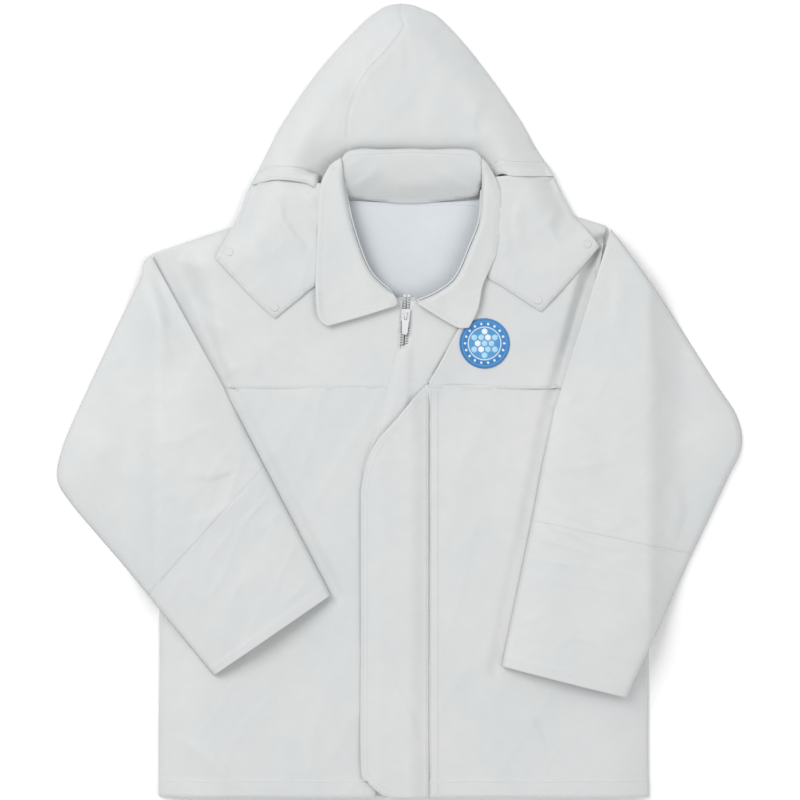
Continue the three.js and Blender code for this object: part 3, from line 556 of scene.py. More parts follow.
def stitches(name, paths, height, rides):
    """Rows of sewn stitches lying on a height."""
    points, faces = [], []
    rings = ((-0.5, 0.0), (-0.34, 0.8), (0.0, 1.0), (0.34, 0.8), (0.5, 0.0))
    for path in paths:
        run = spaced(path, STITCH + STITCH_GAP)
        x, y = run.T
        z = height(x, y)
        for i in range(len(run) - 1):
            a, b = np.array([x[i], y[i], z[i]]), np.array([x[i + 1], y[i + 1], z[i + 1]])
            way = (b - a) / max(np.linalg.norm(b - a), 1e-9)
            side = np.array([-way[1], way[0], 0])
            middle = (a + b) / 2
            first = len(points)
            for t, size in rings:
                centre = middle + way * STITCH * t + np.array([0, 0, STITCH_HIGH * (size - 0.6)])
                for turn in (0, 90, 180, 270):
                    c, s = math.cos(math.radians(turn)), math.sin(math.radians(turn))
                    points.append(centre + side * STITCH_WIDE / 2 * c * max(size, 0.12)
                                  + np.array([0, 0, 0.28 * s * max(size, 0.12)]))
            for r in range(4):
                for k in range(4):
                    p, q = first + r * 4 + k, first + r * 4 + (k + 1) % 4
                    faces.append((p, q, q + 4, p + 4))
            faces.append((first + 3, first + 2, first + 1, first))
            faces.append(tuple(first + 16 + k for k in range(4)))
    obj = make_object(name, points, faces, thread)
    bind(obj, rides)
    return obj


# ---------- torso ----------
ARM_R = [SHOULDER_R, (SIDE_R + 6, 120), (SIDE_R + 16, 60), (SIDE_R + 14, YOKE_Y)]
ARM_L = [SHOULDER_L, (SIDE_L - 62, 150), (SIDE_L - 50, 80), (SIDE_L - 30, YOKE_Y)]
CURVE_R = [(-79, 258), (-74, 215), (-58, 170), (-30, 135), (-2, 125)]
CURVE_L = [(113, 260), (110, 215), (92, 168), (62, 138)]
PLACKET_EDGE = [(40, 12), (45, 33), (60, 58), (77, 88), (58, 112)]
INNER_R = [(-300, 168), (-217, 16), (-167, -82), (-84, -241)]
INNER_L = [(252, 190), (191, -18), (164, -149), (126.5, -329)]
HEM_WIDE = 21  # the hem is turned up this far
UNDER_FLAP_X = 32  # the left front ends here, beneath the storm flap
SEAM_LAP, SEAM_STEP = 1.0, 0.45  # the yokes lie over the lower fronts at their seam
YOKE_THICK = 0.5
FLAP_TOP_LINE = [(74.5, 89), (63, 68), (51, 46), (37.5, 23), (36.8, YOKE_Y - SEAM_LAP)]
COVER_LINE = [
    (3.7, 66), (-3.5, 59), (-9, 38), (-13, 24), (-20, -13), (-36, -61), (-44, -86), (-40, -104), (-14, -128),
]


def from_sides(x):
    return np.minimum(x - SIDE_R, SIDE_L - x)


def hem_relief(y):
    """The hem is turned up twice, and stands a little proud."""
    turned_up = 0.9 * ease((HEM_Y + HEM_WIDE - y) / 1.6)
    return turned_up - 0.5 * np.exp(-(((y - HEM_Y - HEM_WIDE) / 2) ** 2))


def sunk(x, y):
    """The front gives way under the inner edge of each sleeve, most of all below the shoulder."""
    depth = 0
    for path, corner, chest_side in ((INNER_R, 0.34, 1), (INNER_L, 0.42, -1)):
        d, share = along(x, y, path)
        upper = ease(1.3 * (1 - share / corner))
        away_from_edge = d * chest_side / (20 + 34 * upper * (chest_side > 0))
        valley = ease((away_from_edge + 0.1) / 0.45) * (1 - ease((away_from_edge - 0.35) / 0.65))
        depth = depth + (3.6 + 8.4 * upper) * valley
    return -depth * rise(from_sides(x), 40)


def laid(x, y, y_sunk, low):
    """Upper face of the torso's front, which never sinks below the back."""
    return np.maximum(front(x, y) + sunk(x, y_sunk), low) + CLOTH


LOWER_FOLDS = [
    ([(-214, 10), (-200, -6), (-186, -12)], 7, 1.4, 1),
    ([(-283, -410), (-232, -440), (-190, -489)], 16, 2.6, 1),
    ([(-112, -389), (-110, -430), (-114, -480)], 11, 1.7, -1),
    ([(-197, -60), (-196, -86), (-203, -120)], 12, 2.0, 1),
    ([(-150, 5), (-146, -120), (-138, -260)], 30, 2.0, 0),
    ([(157, -375), (170, -405), (188, -452)], 12, 1.9, 1),
    ([(70, 8), (76, -150), (70, -330)], 34, 1.7, 0),
    ([(230, -395), (250, -440), (282, -486)], 18, 1.6, 0),
    ([(-40, -130), (-75, -300), (-66, -440)], 30, 1.6, 0),
    ([(100, -60), (150, -190), (120, -330)], 24, 1.3, -1),
]


def lower_front(x, y):
    uneven = ripple(x, y, 11, 120, 0.9, 80, 2.2) + crumple(x, y, 12, 95, 0.7, 70, 1.8)
    creased = (uneven + folds(x, y, LOWER_FOLDS)) * rise(from_sides(x), 70)
    return laid(x, np.minimum(y, YOKE_Y), y, LOW_BACK) + creased + hem_relief(y)


YOKE_FOLDS = [
    ([(-196, 96), (-180, 60), (-172, 22)], 14, 1.1, 1), ([(130, 50), (160, 80), (200, 92)], 16, 1.2, 0),
    ([(92, 20), (98, 40), (120, 60)], 12, 1.0, 0), ([(-218, 24), (-206, 36), (-192, 40)], 7, 1.5, -1),
    ([(-262, 130), (-235, 96), (-205, 78)], 16, 1.6, 1), ([(248, 150), (228, 120), (215, 80)], 15, 1.3, -1),
]


def front_yoke_height(x, y):
    uneven = ripple(x, y, 21, 90, 0.6, 20, 1.6) + crumple(x, y, 22, 80, 0.5, 110, 1.6)
    creased = (uneven + folds(x, y, YOKE_FOLDS)) * rise(from_sides(x), 80)
    return laid(x, y, y, LOW_YOKE) + creased + SEAM_STEP * ease((YOKE_Y + 14 - y) / 12)


def flap_top(x, y):
    """The storm flap's line runs on over the yoke up to the collar, where its edge stands proud."""
    d = away(x, y, [(84, 104), *FLAP_TOP_LINE])
    return 4.2 * (1 - rise(d, 40)) * ease((y - YOKE_Y + 34) / 36)


def yoke_left_height(x, y):
    return front_yoke_height(x, y) + flap_top(x, y)


def lower_left_height(x, y):
    allowance = band(x, y, [(44, YOKE_Y + 9), (44, HEM_Y)], 11, 0.6)
    return lower_front(x, y) + flap_top(x, y) + allowance - 0.5 * ease((36.5 - x) / 2)


def back_yoke_height(x, y):
    return 2.95 + 0.35 * crumple(x, y, 31, 60, 1, 20, 1.5)


def cover_height(x, y):
    """The placket lies flat, and rides over the teeth where it covers the zip."""
    over = ease((70 - y) / 10) * ease((y + 132) / 20)
    hump = 3.0 * ease((zip_x(y) + 13 - x) / 8)
    edge_x, edge_y = np.array(COVER_LINE[::-1]).T
    drop = 1.7 * ease((np.interp(y, edge_y, edge_x) + 12 - x) / 12)
    return FRONT_TOP + (hump - drop) * over + ripple(x, y, 41, 80, 0.25)


def flat_at(level):
    return lambda x, y: level + 0 * x


def beside_zip(shift, heights):
    """A line that keeps its distance from the zip."""
    return [(zip_x(y) + shift, y) for y in heights]


def hem_line(start, end):
    thirds = [((start * 2 + end) / 3, HEM_Y + 0.8), ((start + end * 2) / 3, HEM_Y - 0.2)]
    return curve([(start, HEM_Y), *thirds, (end, HEM_Y)])


def make_back():
    side_left = [(SIDE_L, HEM_Y), (SIDE_L - 1, -420), (SIDE_L, -300), (SIDE_L, -60), ARM_L[3]]
    side_right = [ARM_R[3], (SIDE_R, -60), (SIDE_R + 1, -300), (SIDE_R, -420), (SIDE_R, HEM_Y)]
    sides = curve(side_left), curve(side_right)
    back = joined(hem_line(SIDE_R, SIDE_L), sides[0], [ARM_R[3]], sides[1])
    rows = [[(SIDE_R + 4, HEM_Y + 20), (SIDE_L - 4, HEM_Y + 20)],
            [(SIDE_R + 8, YOKE_Y - 10), (SIDE_L - 30, YOKE_Y - 10)]]
    panel("back_panel_cloth", back, flat_at(1.2), ["back_panel"], step=9, stitched=rows)
    neck = curve([(98, 248), (60, 246), (NECK_MID, 245), (-30, 246), (-65, 248)])
    foot = [(SIDE_R + 14, YOKE_Y - 12), (SIDE_L - 30, YOKE_Y - 12)]
    yoke = joined(curve(ARM_R[:3]), foot, curve(ARM_L[:3][::-1]), [NECK_L], neck, [NECK_R])
    panel("back_yoke_cloth", yoke, back_yoke_height, ["back_yoke"], slot="inner_cloth", material=inner, step=7,
          stitched=[[(-62, 242), (95, 242)]])
    return sides


def make_fronts(side_left, side_right):
    top_y = YOKE_Y + 4
    edge = beside_zip(-5, (HEM_Y, -300, -140, -110, -85, -60, -40, -20, 0, top_y))
    right = joined(hem_line(SIDE_R, edge[0][0]), curve(edge), [(SIDE_R + 15, top_y)], side_right)
    along_edge = (HEM_Y + 3, -140, -110, -85, -60, -40, -20, 0, YOKE_Y - 2)
    edge_rows = [beside_zip(-5 - d, along_edge) for d in (3, 14)]
    hem_rows = [[(SIDE_R + 5, HEM_Y + up), (-32, HEM_Y + up)] for up in (19, 3)]
    panel("front_right_cloth", right, lower_front, ["front_panel_right"],
          stitched=[[(SIDE_R + 5, -250), (SIDE_R + 5, HEM_Y + 4)], *hem_rows, *edge_rows])
    under_flap = spaced([(UNDER_FLAP_X, top_y), (UNDER_FLAP_X, HEM_Y)], 4)
    left = joined(hem_line(UNDER_FLAP_X, SIDE_L), side_left, [(SIDE_L - 31, top_y)], under_flap)
    hem_rows = [[(40, HEM_Y + up), (SIDE_L - 5, HEM_Y + up)] for up in (19, 3)]
    flap_rows = [[(x, YOKE_Y - 2), (x, HEM_Y + 3)] for x in (39.5, 48)]
    panel("front_left_cloth", left, lower_left_height, ["front_panel_left"],
          stitched=[[(SIDE_L - 5, -250), (SIDE_L - 5, HEM_Y + 4)], *hem_rows, *flap_rows])


def make_front_yokes():
    lap_y = YOKE_Y - SEAM_LAP
    edge = beside_zip(-5, (lap_y, 30, 50, 58, 66, 74, 90, 123))
    foot = SIDE_R + 14, lap_y
    right = joined(curve(edge), curve(CURVE_R[::-1]), spaced([NECK_R, SHOULDER_R], 4),
                   curve([*ARM_R[:3], foot]), spaced([foot, edge[0]], 4))
    panel("front_yoke_right_cloth", right, front_yoke_height, ["front_yoke_right"], thick=YOKE_THICK,
          stitched=[[(SIDE_R + 18, YOKE_Y + 2.4), (-16, YOKE_Y + 2.4)],
                    beside_zip(-8, (20, 40, 54, 62, 70, 90, 118)), offset(curve(ARM_R), 5)])
    foot = SIDE_L - 30, lap_y
    corner, flap_line, low_end = FLAP_TOP_LINE[0], curve(FLAP_TOP_LINE[:4]), FLAP_TOP_LINE[4]
    left = joined(spaced([low_end, foot], 4), curve([foot, *ARM_L[:3][::-1]]),
                  spaced([SHOULDER_L, NECK_L], 4), curve(CURVE_L), [corner], flap_line, [low_end])
    panel("front_yoke_left_cloth", left, yoke_left_height, ["front_yoke_left"], thick=YOKE_THICK,
          stitched=[[(44, YOKE_Y + 2.4), (SIDE_L - 34, YOKE_Y + 2.4)], offset(curve(ARM_L), -5),
                    offset(flap_line, 3)])


def make_placket_and_tapes():
    inside = UNDER_FLAP_X - 0.6
    zip_side = beside_zip(5, (HEM_Y, 123, 70, -132))
    outline = joined([zip_side[0], (inside, HEM_Y)], spaced([(inside, HEM_Y), (inside, YOKE_Y - 6)], 5),
                     curve(PLACKET_EDGE), [(44, 118), (26, 123), *zip_side[1:3]], curve(COVER_LINE),
                     spaced([zip_side[3], zip_side[0]], 5))
    panel("zip_placket_cloth", outline, cover_height, ["zip_placket_left"],
          stitched=[offset(curve(COVER_LINE[:7]), 3), beside_zip(8, (80, 118))])
    ends = (ZIP_TOP_Y, -466)
    for side, name in ((-1, "right"), (1, "left")):
        tape = joined(spaced(beside_zip(side * 0.9, ends), 6), spaced(beside_zip(side * 14.4, ends)[::-1], 6))
        panel(f"zip_tape_{name}_cloth", tape, flat_at(TEETH_FOOT + 0.1), [f"zip_tape_{name}"],
              slot="zip_tape", material=tape_cloth, step=5, stitched=[beside_zip(side * 12, ends)])


make_fronts(*make_back())
make_front_yokes()
make_placket_and_tapes()


# ---------- zip ----------
ZIP_CLOSED_Y = 98  # the rows are hooked together below the slider
TOOTH_PITCH, TOOTH_AXIS = 3.2, 2.5
TOOTH_SLICES = (0, 0.86), (0.25, 1), (0.75, 1), (1, 0.8)  # share of its height, scale of its outline


def tooth_outline(head):
    """One side's tooth from above: its head, its waist and its foot on the tape."""
    return [(head, 0.6), (head + 0.9, 0.72), (0.2, 0.72), (1.5, 1.2), (1.5, -1.2), (0.2, -0.72),
            (head + 0.9, -0.72), (head, -0.6)]


def make_teeth():
    high = TEETH_TOP - TEETH_FOOT
    for side, name in ((-1, "right"), (1, "left")):
        points, faces = [], []
        shift = 0 if side < 0 else TOOTH_PITCH / 2
        for y in np.arange(-452, 126 - shift, TOOTH_PITCH) + shift:
            cx = zip_x(y) + side * TOOTH_AXIS
            profile = tooth_outline(-3.3 if y < ZIP_CLOSED_Y else -1.5)
            n, first = len(profile), len(points)
            for share, scale in TOOTH_SLICES:
                z = TEETH_FOOT + high * share
                points += [(cx - side * px * scale, y + py * scale, z) for px, py in profile]
            for row in range(len(TOOTH_SLICES) - 1):
                for k in range(n):
                    a, b = first + row * n + k, first + row * n + (k + 1) % n
                    faces.append((a, b, b + n, a + n) if side < 0 else (b, a, a + n, b + n))
            low = [first + k for k in range(n)]
            top = [k + n * (len(TOOTH_SLICES) - 1) for k in low]
            faces += [tuple(top if side < 0 else top[::-1]), tuple(low[::-1] if side < 0 else low)]
        obj = make_object(f"zip_teeth_{name}_moulded", points, faces, resin, smooth=False)
        dress(obj, "zip_resin", "torso", [f"zip_teeth_{name}"])


make_teeth()


BEVEL = 0.35


def finish_fittings():
    """CAD fittings that keep their shape get a bevel and a surface."""
    looks = {
        "zip_slider": metal, "zip_pull": metal, "zip_stop_left": metal, "zip_stop_right": metal,
        "zip_retainer_box": resin, "zip_insert_pin": resin,
        **{f"{kind}_tape_{i}": hook_cloth for kind in ("loop", "hook") for i in (1, 2, 3)},
    }
    for name, material in looks.items():
        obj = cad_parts[name]
        obj.data.materials.clear()
        obj.data.materials.append(material)
        bevel = obj.modifiers.new("bevel", "BEVEL")
        bevel.width = BEVEL * MM
        bevel.segments = 3


finish_fittings()


# ---------- storm flap ----------
FLAP_FOLDS = [
    ([(-26, -318), (0, -360), (30, -432)], 9, 1.3, 1), ([(-30, -140), (-6, -190), (20, -260)], 12, 1.0, 0),
    ([(-38, -250), (-20, -330), (-34, -420)], 9, 0.9, 0),
]
FLAP_FREE = [(-47, -112), (-47, -280), (-47, -450), (-39, -472), (-21, -488), (-7, -492)]
FLAP_SLANT = [(36.2, 21), (17, 0), (-3, -24), (-26, -50), (-40, -77), (-47, -112)]
FLAP_THICK = 1.5


def storm_height(x, y):
    uneven = ripple(x, y, 51, 110, 0.5, 90, 2.5) + crumple(x, y, 52, 100, 0.4, 80, 2)
    creased = (uneven + folds(x, y, FLAP_FOLDS)) * ease((FLAP_SEAM_X - x) / 14)
    allowance = band(x, y, [(FLAP_SEAM_X, 8), (FLAP_SEAM_X, HEM_Y)], 7, 0.9)
    return storm_under(x) + FLAP_THICK + creased + allowance


def make_storm_flap():
    slant, free, sewn_x = curve(FLAP_SLANT), curve(FLAP_FREE), FLAP_SLANT[0][0]
    foot = spaced([(-7, HEM_Y), (sewn_x, HEM_Y)], 4)
    outline = joined(slant, free, foot, spaced([(sewn_x, HEM_Y), (sewn_x, 20)], 4))
    edge = np.vstack([slant, free[1:]])
    rows = [offset(edge, 3), offset(edge, 8), [(33.6, 4), (33.6, HEM_Y + 3)], [(28.8, 0), (28.8, HEM_Y + 3)]]
    panel("storm_flap_cloth", outline, storm_height, ["storm_flap"],
          ("torso", "storm_flap", (38, -230, 22), (28, -230, 22)), thick=FLAP_THICK, step=4,
          stitched=rows)


make_storm_flap()


# ---------- collar ----------
LEAF_IN_R = [(-72, 299), (-70, 285), (-64, 249), (-53, 205), (-35, 160), (-9, 134)]
LEAF_OUT_R = [
    (-9, 134), (-2, 119), (-20, 112), (-56, 101), (-89, 92), (-100, 104), (-103, 149), (-101, 210), (-98, 260),
    (-89, 284), (-81, 294), (-72, 299),
]
LEAF_IN_L = [(103, 299), (102, 260), (99, 223), (88, 193), (70, 153), (47, 134), (22, 123)]
LEAF_OUT_L = [
    (22, 123), (26, 118), (48, 104), (73, 90), (86, 90), (97, 112), (103, 141), (114, 166), (122, 186),
    (126, 225), (125, 260), (112, 288), (103, 299),
]
LEAF_CORNER = 4  # place of the collar point in each outer edge
STAND_FOOT, STAND_ROWS = 20.9, 6
BACK_FOLDS = [
    ([(-62, 262), (-40, 276), (-22, 296)], 9, 1.6, 1), ([(-66, 284), (-48, 296), (-30, 304)], 7, 1.2, -1),
    ([(92, 262), (70, 272), (52, 290)], 9, 1.1, -1), ([(0, 258), (20, 268), (48, 264)], 8, 0.9, 0),
]
BACK_FOOT = [(-66, 252), (-30, 247), (2, 244), (40, 245), (98, 253)]
BACK_TOP = [
    (102, 299), (93, 308), (74, 311), (40, 310), (16, 311), (-20, 310), (-46, 311), (-63, 307), (-71, 298),
]


def leaf_height(inner_edge, outer_edge, seed):
    def height(x, y):
        d = away(x, y, inner_edge)
        roll = 4.6 * (1 - rise(d, 30)) - 7.5 * (1 - rise(d, 7)) * ease((296 - y) / 30)
        near = 1 - rise(away(x, y, outer_edge), 9)
        curl = 2.4 * near * ease((150 - y) / 30) - 1.3 * near * ease((y - 150) / 30)
        return LEAF_LEVEL + 1.6 + roll + curl + ripple(x, y, seed, 60, 0.5, 100, 2) * rise(d, 12)
    return height


def make_leaf(name, inside, outside, seed, sign):
    height = leaf_height(curve(inside), outside, seed)
    to_corner, from_corner = curve(outside[:LEAF_CORNER + 1]), curve(outside[LEAF_CORNER:])
    seam = np.vstack([to_corner[3:], from_corner[1:-3]])
    panel(f"collar_leaf_{name}_cloth", joined(curve(inside), to_corner, from_corner), height,
          [f"collar_leaf_{name}"], thick=1.6, step=3.6,
          stitched=[offset(seam, -4 * sign), offset(seam, -6.5 * sign)])


def make_stand(name, inside, sign):
    """The strip that holds a leaf up, seen under its rolled edge."""
    edge = curve(inside[1:])
    foot, top = offset(edge, sign * 0.2), offset(edge, -sign * 0.6)
    rows = []
    for t in np.linspace(0, 1, STAND_ROWS):
        at = foot + (top - foot) * t
        z = STAND_FOOT + (LEAF_LEVEL + 1.2 - STAND_FOOT) * t
        rows.append(np.column_stack([at, z - np.maximum(at[:, 1] - 215, 0) * 0.12]))
    n = len(edge)
    faces = [(r * n + i, r * n + i + 1, (r + 1) * n + i + 1, (r + 1) * n + i)
             for r in range(STAND_ROWS - 1) for i in range(n - 1)]
    solid, made = thickened(np.vstack(rows), faces if sign > 0 else [f[::-1] for f in faces], 1.4)
    stand = make_object(f"collar_stand_{name}_cloth", solid, made, inner)
    dress(stand, "shell_cloth", "torso", [f"collar_stand_{name}"])


def collar_back_height(x, y):
    t = np.clip((y - 246) / 64, 0, 1)
    arch = 0.7 + (LEAF_LEVEL + 4.0 - LOW_YOKE) * (2 * t - t * t)
    creases = ripple(x, y, 63, 45, 0.5, 0, 2.4) + folds(x, y, BACK_FOLDS)
    return LOW_YOKE + arch - 3 * (1 - rise(310 - y, 6)) + creases * rise(310 - y, 14) * ease(t / 0.3)


def make_collar():
    for side in (("right", LEAF_IN_R, LEAF_OUT_R, 61, 1), ("left", LEAF_IN_L, LEAF_OUT_L, 62, -1)):
        make_leaf(*side)
        make_stand(side[0], side[1], side[-1])
    outline = joined(curve(BACK_FOOT), curve([BACK_FOOT[-1], (104, 280), BACK_TOP[0]]), curve(BACK_TOP),
                     curve([BACK_TOP[-1], (-73, 280), BACK_FOOT[0]]))
    panel("collar_back_cloth", outline, collar_back_height, ["collar_back"], slot="inner_cloth",
          thick=0.9, step=4,
          stitched=[[(-60, 254), (93, 254)], curve([(-60, 303), (16, 306), (90, 303)])])


make_collar()


# ---------- hood ----------
BRIM = [
    (-182, 267), (-154, 273), (-117, 269), (-98, 262), (-40, 259), (3, 259), (60, 265), (113, 273), (125, 280),
    (144, 278), (191, 278),
]
BRIM_WIDE, BRIM_INSET = 17, 9  # the brim's upper edge ends this far short of its lower one
HOOD_SEAM = [
    (3, 492), (2, 478), (7, 461), (-14, 432), (-41, 402), (-60, 362), (-64, 325), (-60, 290), (-50, 260),
]
HOOD_FOLDS = [
    ([(7, 466), (-14, 434), (-41, 404), (-62, 358)], 18, 2.6, -1, 0.4),
    ([(6, 455), (5, 425), (6, 396)], 10, 1.1, 1, 0.5), ([(-58, 300), (-20, 318), (24, 316)], 14, 1.2, 0, 0.4),
    ([(27, 478), (50, 455), (74, 425)], 15, -2.4, 0, 0.45),
    ([(100, 380), (92, 340), (104, 300)], 16, 1.6, 1), ([(-110, 350), (-120, 320), (-112, 295)], 14, 1.4, 0),
    ([(40, 420), (52, 380), (46, 330)], 18, 1.5, 0), ([(-20, 370), (-8, 345), (20, 330)], 14, 1.0, 0),
]
HOOD_LAP, HOOD_STEP = 4, 0.2  # the left half lies over the right half at their seam, and that much above it
HOOD_BEND = ("torso", "hood", (3, 300, 20), (3, 330, 20))


def hood_right_height(x, y):
    uneven = ripple(x, y, 71, 85, 0.9, 60, 1.8) + crumple(x, y, 72, 75, 0.8, 60, 1.8)
    calm = 1 - ease((110 - np.abs(x - HOOD_MID)) / 20) * ease((325 - y) / 20)
    room = rise(hood_edge(x, y), 40)
    return hood_front(x, y) + CLOTH + (uneven + folds(x, y, HOOD_FOLDS)) * room * calm


def hood_left_height(x, y):
    return hood_right_height(x, y) + HOOD_STEP * ease((12 - away(x, y, curve(HOOD_SEAM))) / 10)


def brim_floor(x, y):
    """The brim is held up by the flaps that come out from under it."""
    beside = ease((np.abs(x - NECK_MID) - 110) / 10)
    return LOW_BACK + (flap_under(x, y) + 0.4 - LOW_BACK) * beside * ease((292 - y) / 16)


def brim_height(x, y):
    d = away(x, y, curve([(px, py + BRIM_WIDE / 2) for px, py in BRIM]))
    channel = 0.35 * ease((BRIM_WIDE / 2 - d) / 3)
    under = np.maximum(hood_front(x, y), brim_floor(x, y))
    return under + CLOTH + 1.45 + channel + ripple(x, y, 73, 40, 0.35)


def make_hood():
    behind = joined(curve(HOOD_RIGHT), [(-200, 196), (200, 196)], curve(HOOD_LEFT[::-1]))
    panel("hood_behind_cloth", behind, flat_at(1.2), ["hood_back", "hood_nape"], HOOD_BEND, "inner_cloth",
          inner, step=8)
    right_edge, left_edge, seam = HOOD_RIGHT[:8], HOOD_LEFT[:9], curve(HOOD_SEAM[::-1])
    brim_right = curve([*[p for p in BRIM if p[0] < -90], HOOD_SEAM[-1]])
    brim_left = curve([HOOD_SEAM[-1], *[p for p in BRIM if p[0] > -45]])
    lapped = [(seam[0][0] + HOOD_LAP, seam[0][1])], offset(seam, -HOOD_LAP)[1:-3], [seam[-1]]
    panel("hood_right_cloth", joined(curve(right_edge), brim_right, *lapped), hood_right_height,
          ["hood_right", "hood_side_right"], HOOD_BEND,
          stitched=[offset(curve(right_edge), 5)])
    left = joined(seam[::-1], brim_left, curve(left_edge[::-1]))
    panel("hood_left_cloth", left, hood_left_height, ["hood_left", "hood_side_left"], HOOD_BEND,
          thick=0.25,
          stitched=[offset(curve(HOOD_SEAM[:7]), -2.8)[1:], offset(curve(left_edge), -5)])
    insets = [BRIM_INSET] + [0] * (len(BRIM) - 2) + [-BRIM_INSET]
    low, high = curve(BRIM), curve([(x + inset, y + BRIM_WIDE) for inset, (x, y) in zip(insets, BRIM)])
    panel("hood_brim_cloth", joined(low, high[::-1]), brim_height, ["hood_brim"], thick=1.3, step=3.6,
          stitched=[offset(low, 3.2)[2:-2], offset(high, -3.4)[3:-3], offset(high, -6)[3:-3]])


make_hood()


# ---------- hood flaps ----------
FLAP_R_EDGE = [
    [(-188, 258), (-201, 224), (-208, 213), (-227, 175)], [(-227, 175), (-180, 125), (-154, 101)],
    [(-154, 101), (-128, 122), (-104, 141), (-66, 158)],
]
FLAP_L_EDGE = [
    [(108, 158), (113, 149), (127, 141), (150, 126), (176, 109)], [(176, 109), (212, 148), (248, 190)],
    [(248, 190), (230, 213), (214, 232), (200, 258)],
]
FREE_EDGES = joined(*FLAP_R_EDGE[1:]), joined(*FLAP_L_EDGE[:2])
SNAP_PLACES = [(-210, 183), (-154, 115), (233, 193), (172, 124)]
FLAP_R_FOLDS = [
    ([(-146, 249), (-144, 223), (-131, 205), (-104, 175)], 8, 3.2, 1),
    ([(-120, 257), (-105, 238), (-104, 208)], 7, 2.4, -1),
    ([(-195, 215), (-175, 190), (-165, 160)], 10, 1.6, 0),
]
FLAP_L_FOLDS = [
    ([(150, 255), (142, 220), (150, 180)], 10, 2.2, -1), ([(196, 240), (188, 215), (200, 190)], 9, 1.7, 1),
    ([(125, 230), (133, 200), (128, 170)], 7, 1.0, 0),
]


def flap_height(rows, seed):
    """Upper face of a hood flap: its creases lie still at the snaps, and its free edges droop."""
    def height(x, y):
        inside = rise(hood_edge(x, y), 30)
        near_snap = sum(np.exp(-(((x - sx) ** 2 + (y - sy) ** 2) / 90)) for sx, sy in SNAP_PLACES)
        uneven = ripple(x, y, seed, 60, 0.5, 70, 1.6) + crumple(x, y, seed + 5, 60, 0.7, 60, 1.5)
        droop = 1.5 * (1 - rise(np.minimum(*[away(x, y, edge) for edge in FREE_EDGES]), 12))
        tucked = 1.2 * ease((y - 255) / 8)
        creased = (uneven + folds(x, y, rows)) * inside * (1 - np.minimum(1, near_snap))
        return flap_under(x, y) + CLOTH - droop - tucked + creased
    return height


def make_hood_flaps():
    right_top = [(-84, 266), (-110, 270), (-150, 273), (-182, 268), (-188, 258)]
    right = joined(right_top, *[curve(part) for part in FLAP_R_EDGE], [(-74, 200)])
    left = joined([(116, 276), (113, 200)], *[curve(part) for part in FLAP_L_EDGE], [(192, 276), (150, 279)])
    for name, outline, edge, rows, seed, bend in (
        ("right", right, FLAP_R_EDGE, FLAP_R_FOLDS, 81, ((-98, 190, 24), (-111, 190, 24))),
        ("left", left, FLAP_L_EDGE, FLAP_L_FOLDS, 82, ((121, 190, 24), (134, 190, 24))),
    ):
        rides = ("torso", f"hood_flap_{name}", *bend)
        panel(f"hood_flap_{name}_cloth", outline, flap_height(rows, seed),
              [f"hood_flap_{name}", f"hood_neckband_{name}"], rides, step=4,
              stitched=[offset(curve(part), 4) for part in edge])


make_hood_flaps()


# ---------- round fittings ----------
def turned(name, profile, place, normal, rides, material, slot, replaced, segments=48):
    """A solid of revolution: profile is radius and height from its seat, ending on the axis."""
    points, faces = [(0, 0, profile[0][1])], []
    for r, z in profile[:-1]:
        for k in range(segments):
            a = 2 * math.pi * k / segments
            points.append((r * math.cos(a), r * math.sin(a), z))
    points.append((0, 0, profile[-1][1]))
    rings = len(profile) - 1
    for k in range(segments):
        n = (k + 1) % segments
        faces.append((0, 1 + n, 1 + k))
        for r in range(rings - 1):
            a = 1 + r * segments
            faces.append((a + k, a + n, a + segments + n, a + segments + k))
        last = 1 + (rings - 1) * segments
        faces.append((last + k, last + n, len(points) - 1))
    turn = Vector((0, 0, 1)).rotation_difference(Vector(normal)).to_matrix()
    points = np.array(points) @ np.array(turn).T + np.array(place)
    return dress(make_object(name, points, faces, material), slot, rides, replaced)


SLOPE_REACH, SNAP_GAP = 4.0, 0.1
CAP = [
    (5.2, 0), (5.2, 0.2), (4.8, 0.5), (4.2, 0.62), (3.6, 0.56), (3.2, 0.4), (2.8, 0.4), (2.0, 0.55), (0, 0.6),
]
STUD = [(5, 0), (5, 0.5), (3.4, 0.7), (2.2, 0.75), (2.3, 1.3), (1.8, 1.5), (0, 1.4)]


def seat_on(height, x, y):
    """Place and normal on the upper face of the cloth whose underside is height."""
    h = SLOPE_REACH
    xs, ys = np.array([x + h, x - h, x, x, x]), np.array([y, y, y + h, y - h, y])
    east, west, north, south, here = height(xs, ys)
    normal = Vector((-(east - west) / (2 * h), -(north - south) / (2 * h), 1)).normalized()
    return Vector((x, y, float(here))) + normal * (CLOTH + SNAP_GAP), normal


def make_snaps():
    for (x, y), key in zip(SNAP_PLACES, ("right_corner", "right_tip", "left_corner", "left_tip")):
        body = "hood_flap_right" if x < 0 else "hood_flap_left"
        cap, stud = seat_on(flap_under, x, y), seat_on(front, x, y)
        turned(f"snap_cap_{key}_domed", CAP, *cap, body, resin, "snap_resin", [f"snap_cap_{key}"])
        turned(f"snap_stud_{key}_turned", STUD, *stud, "torso", metal, "zip_metal", [f"snap_stud_{key}"])


make_snaps()


# ---------- chest patch ----------
PATCH_X, PATCH_Y, PATCH_R = 106, 70, 31


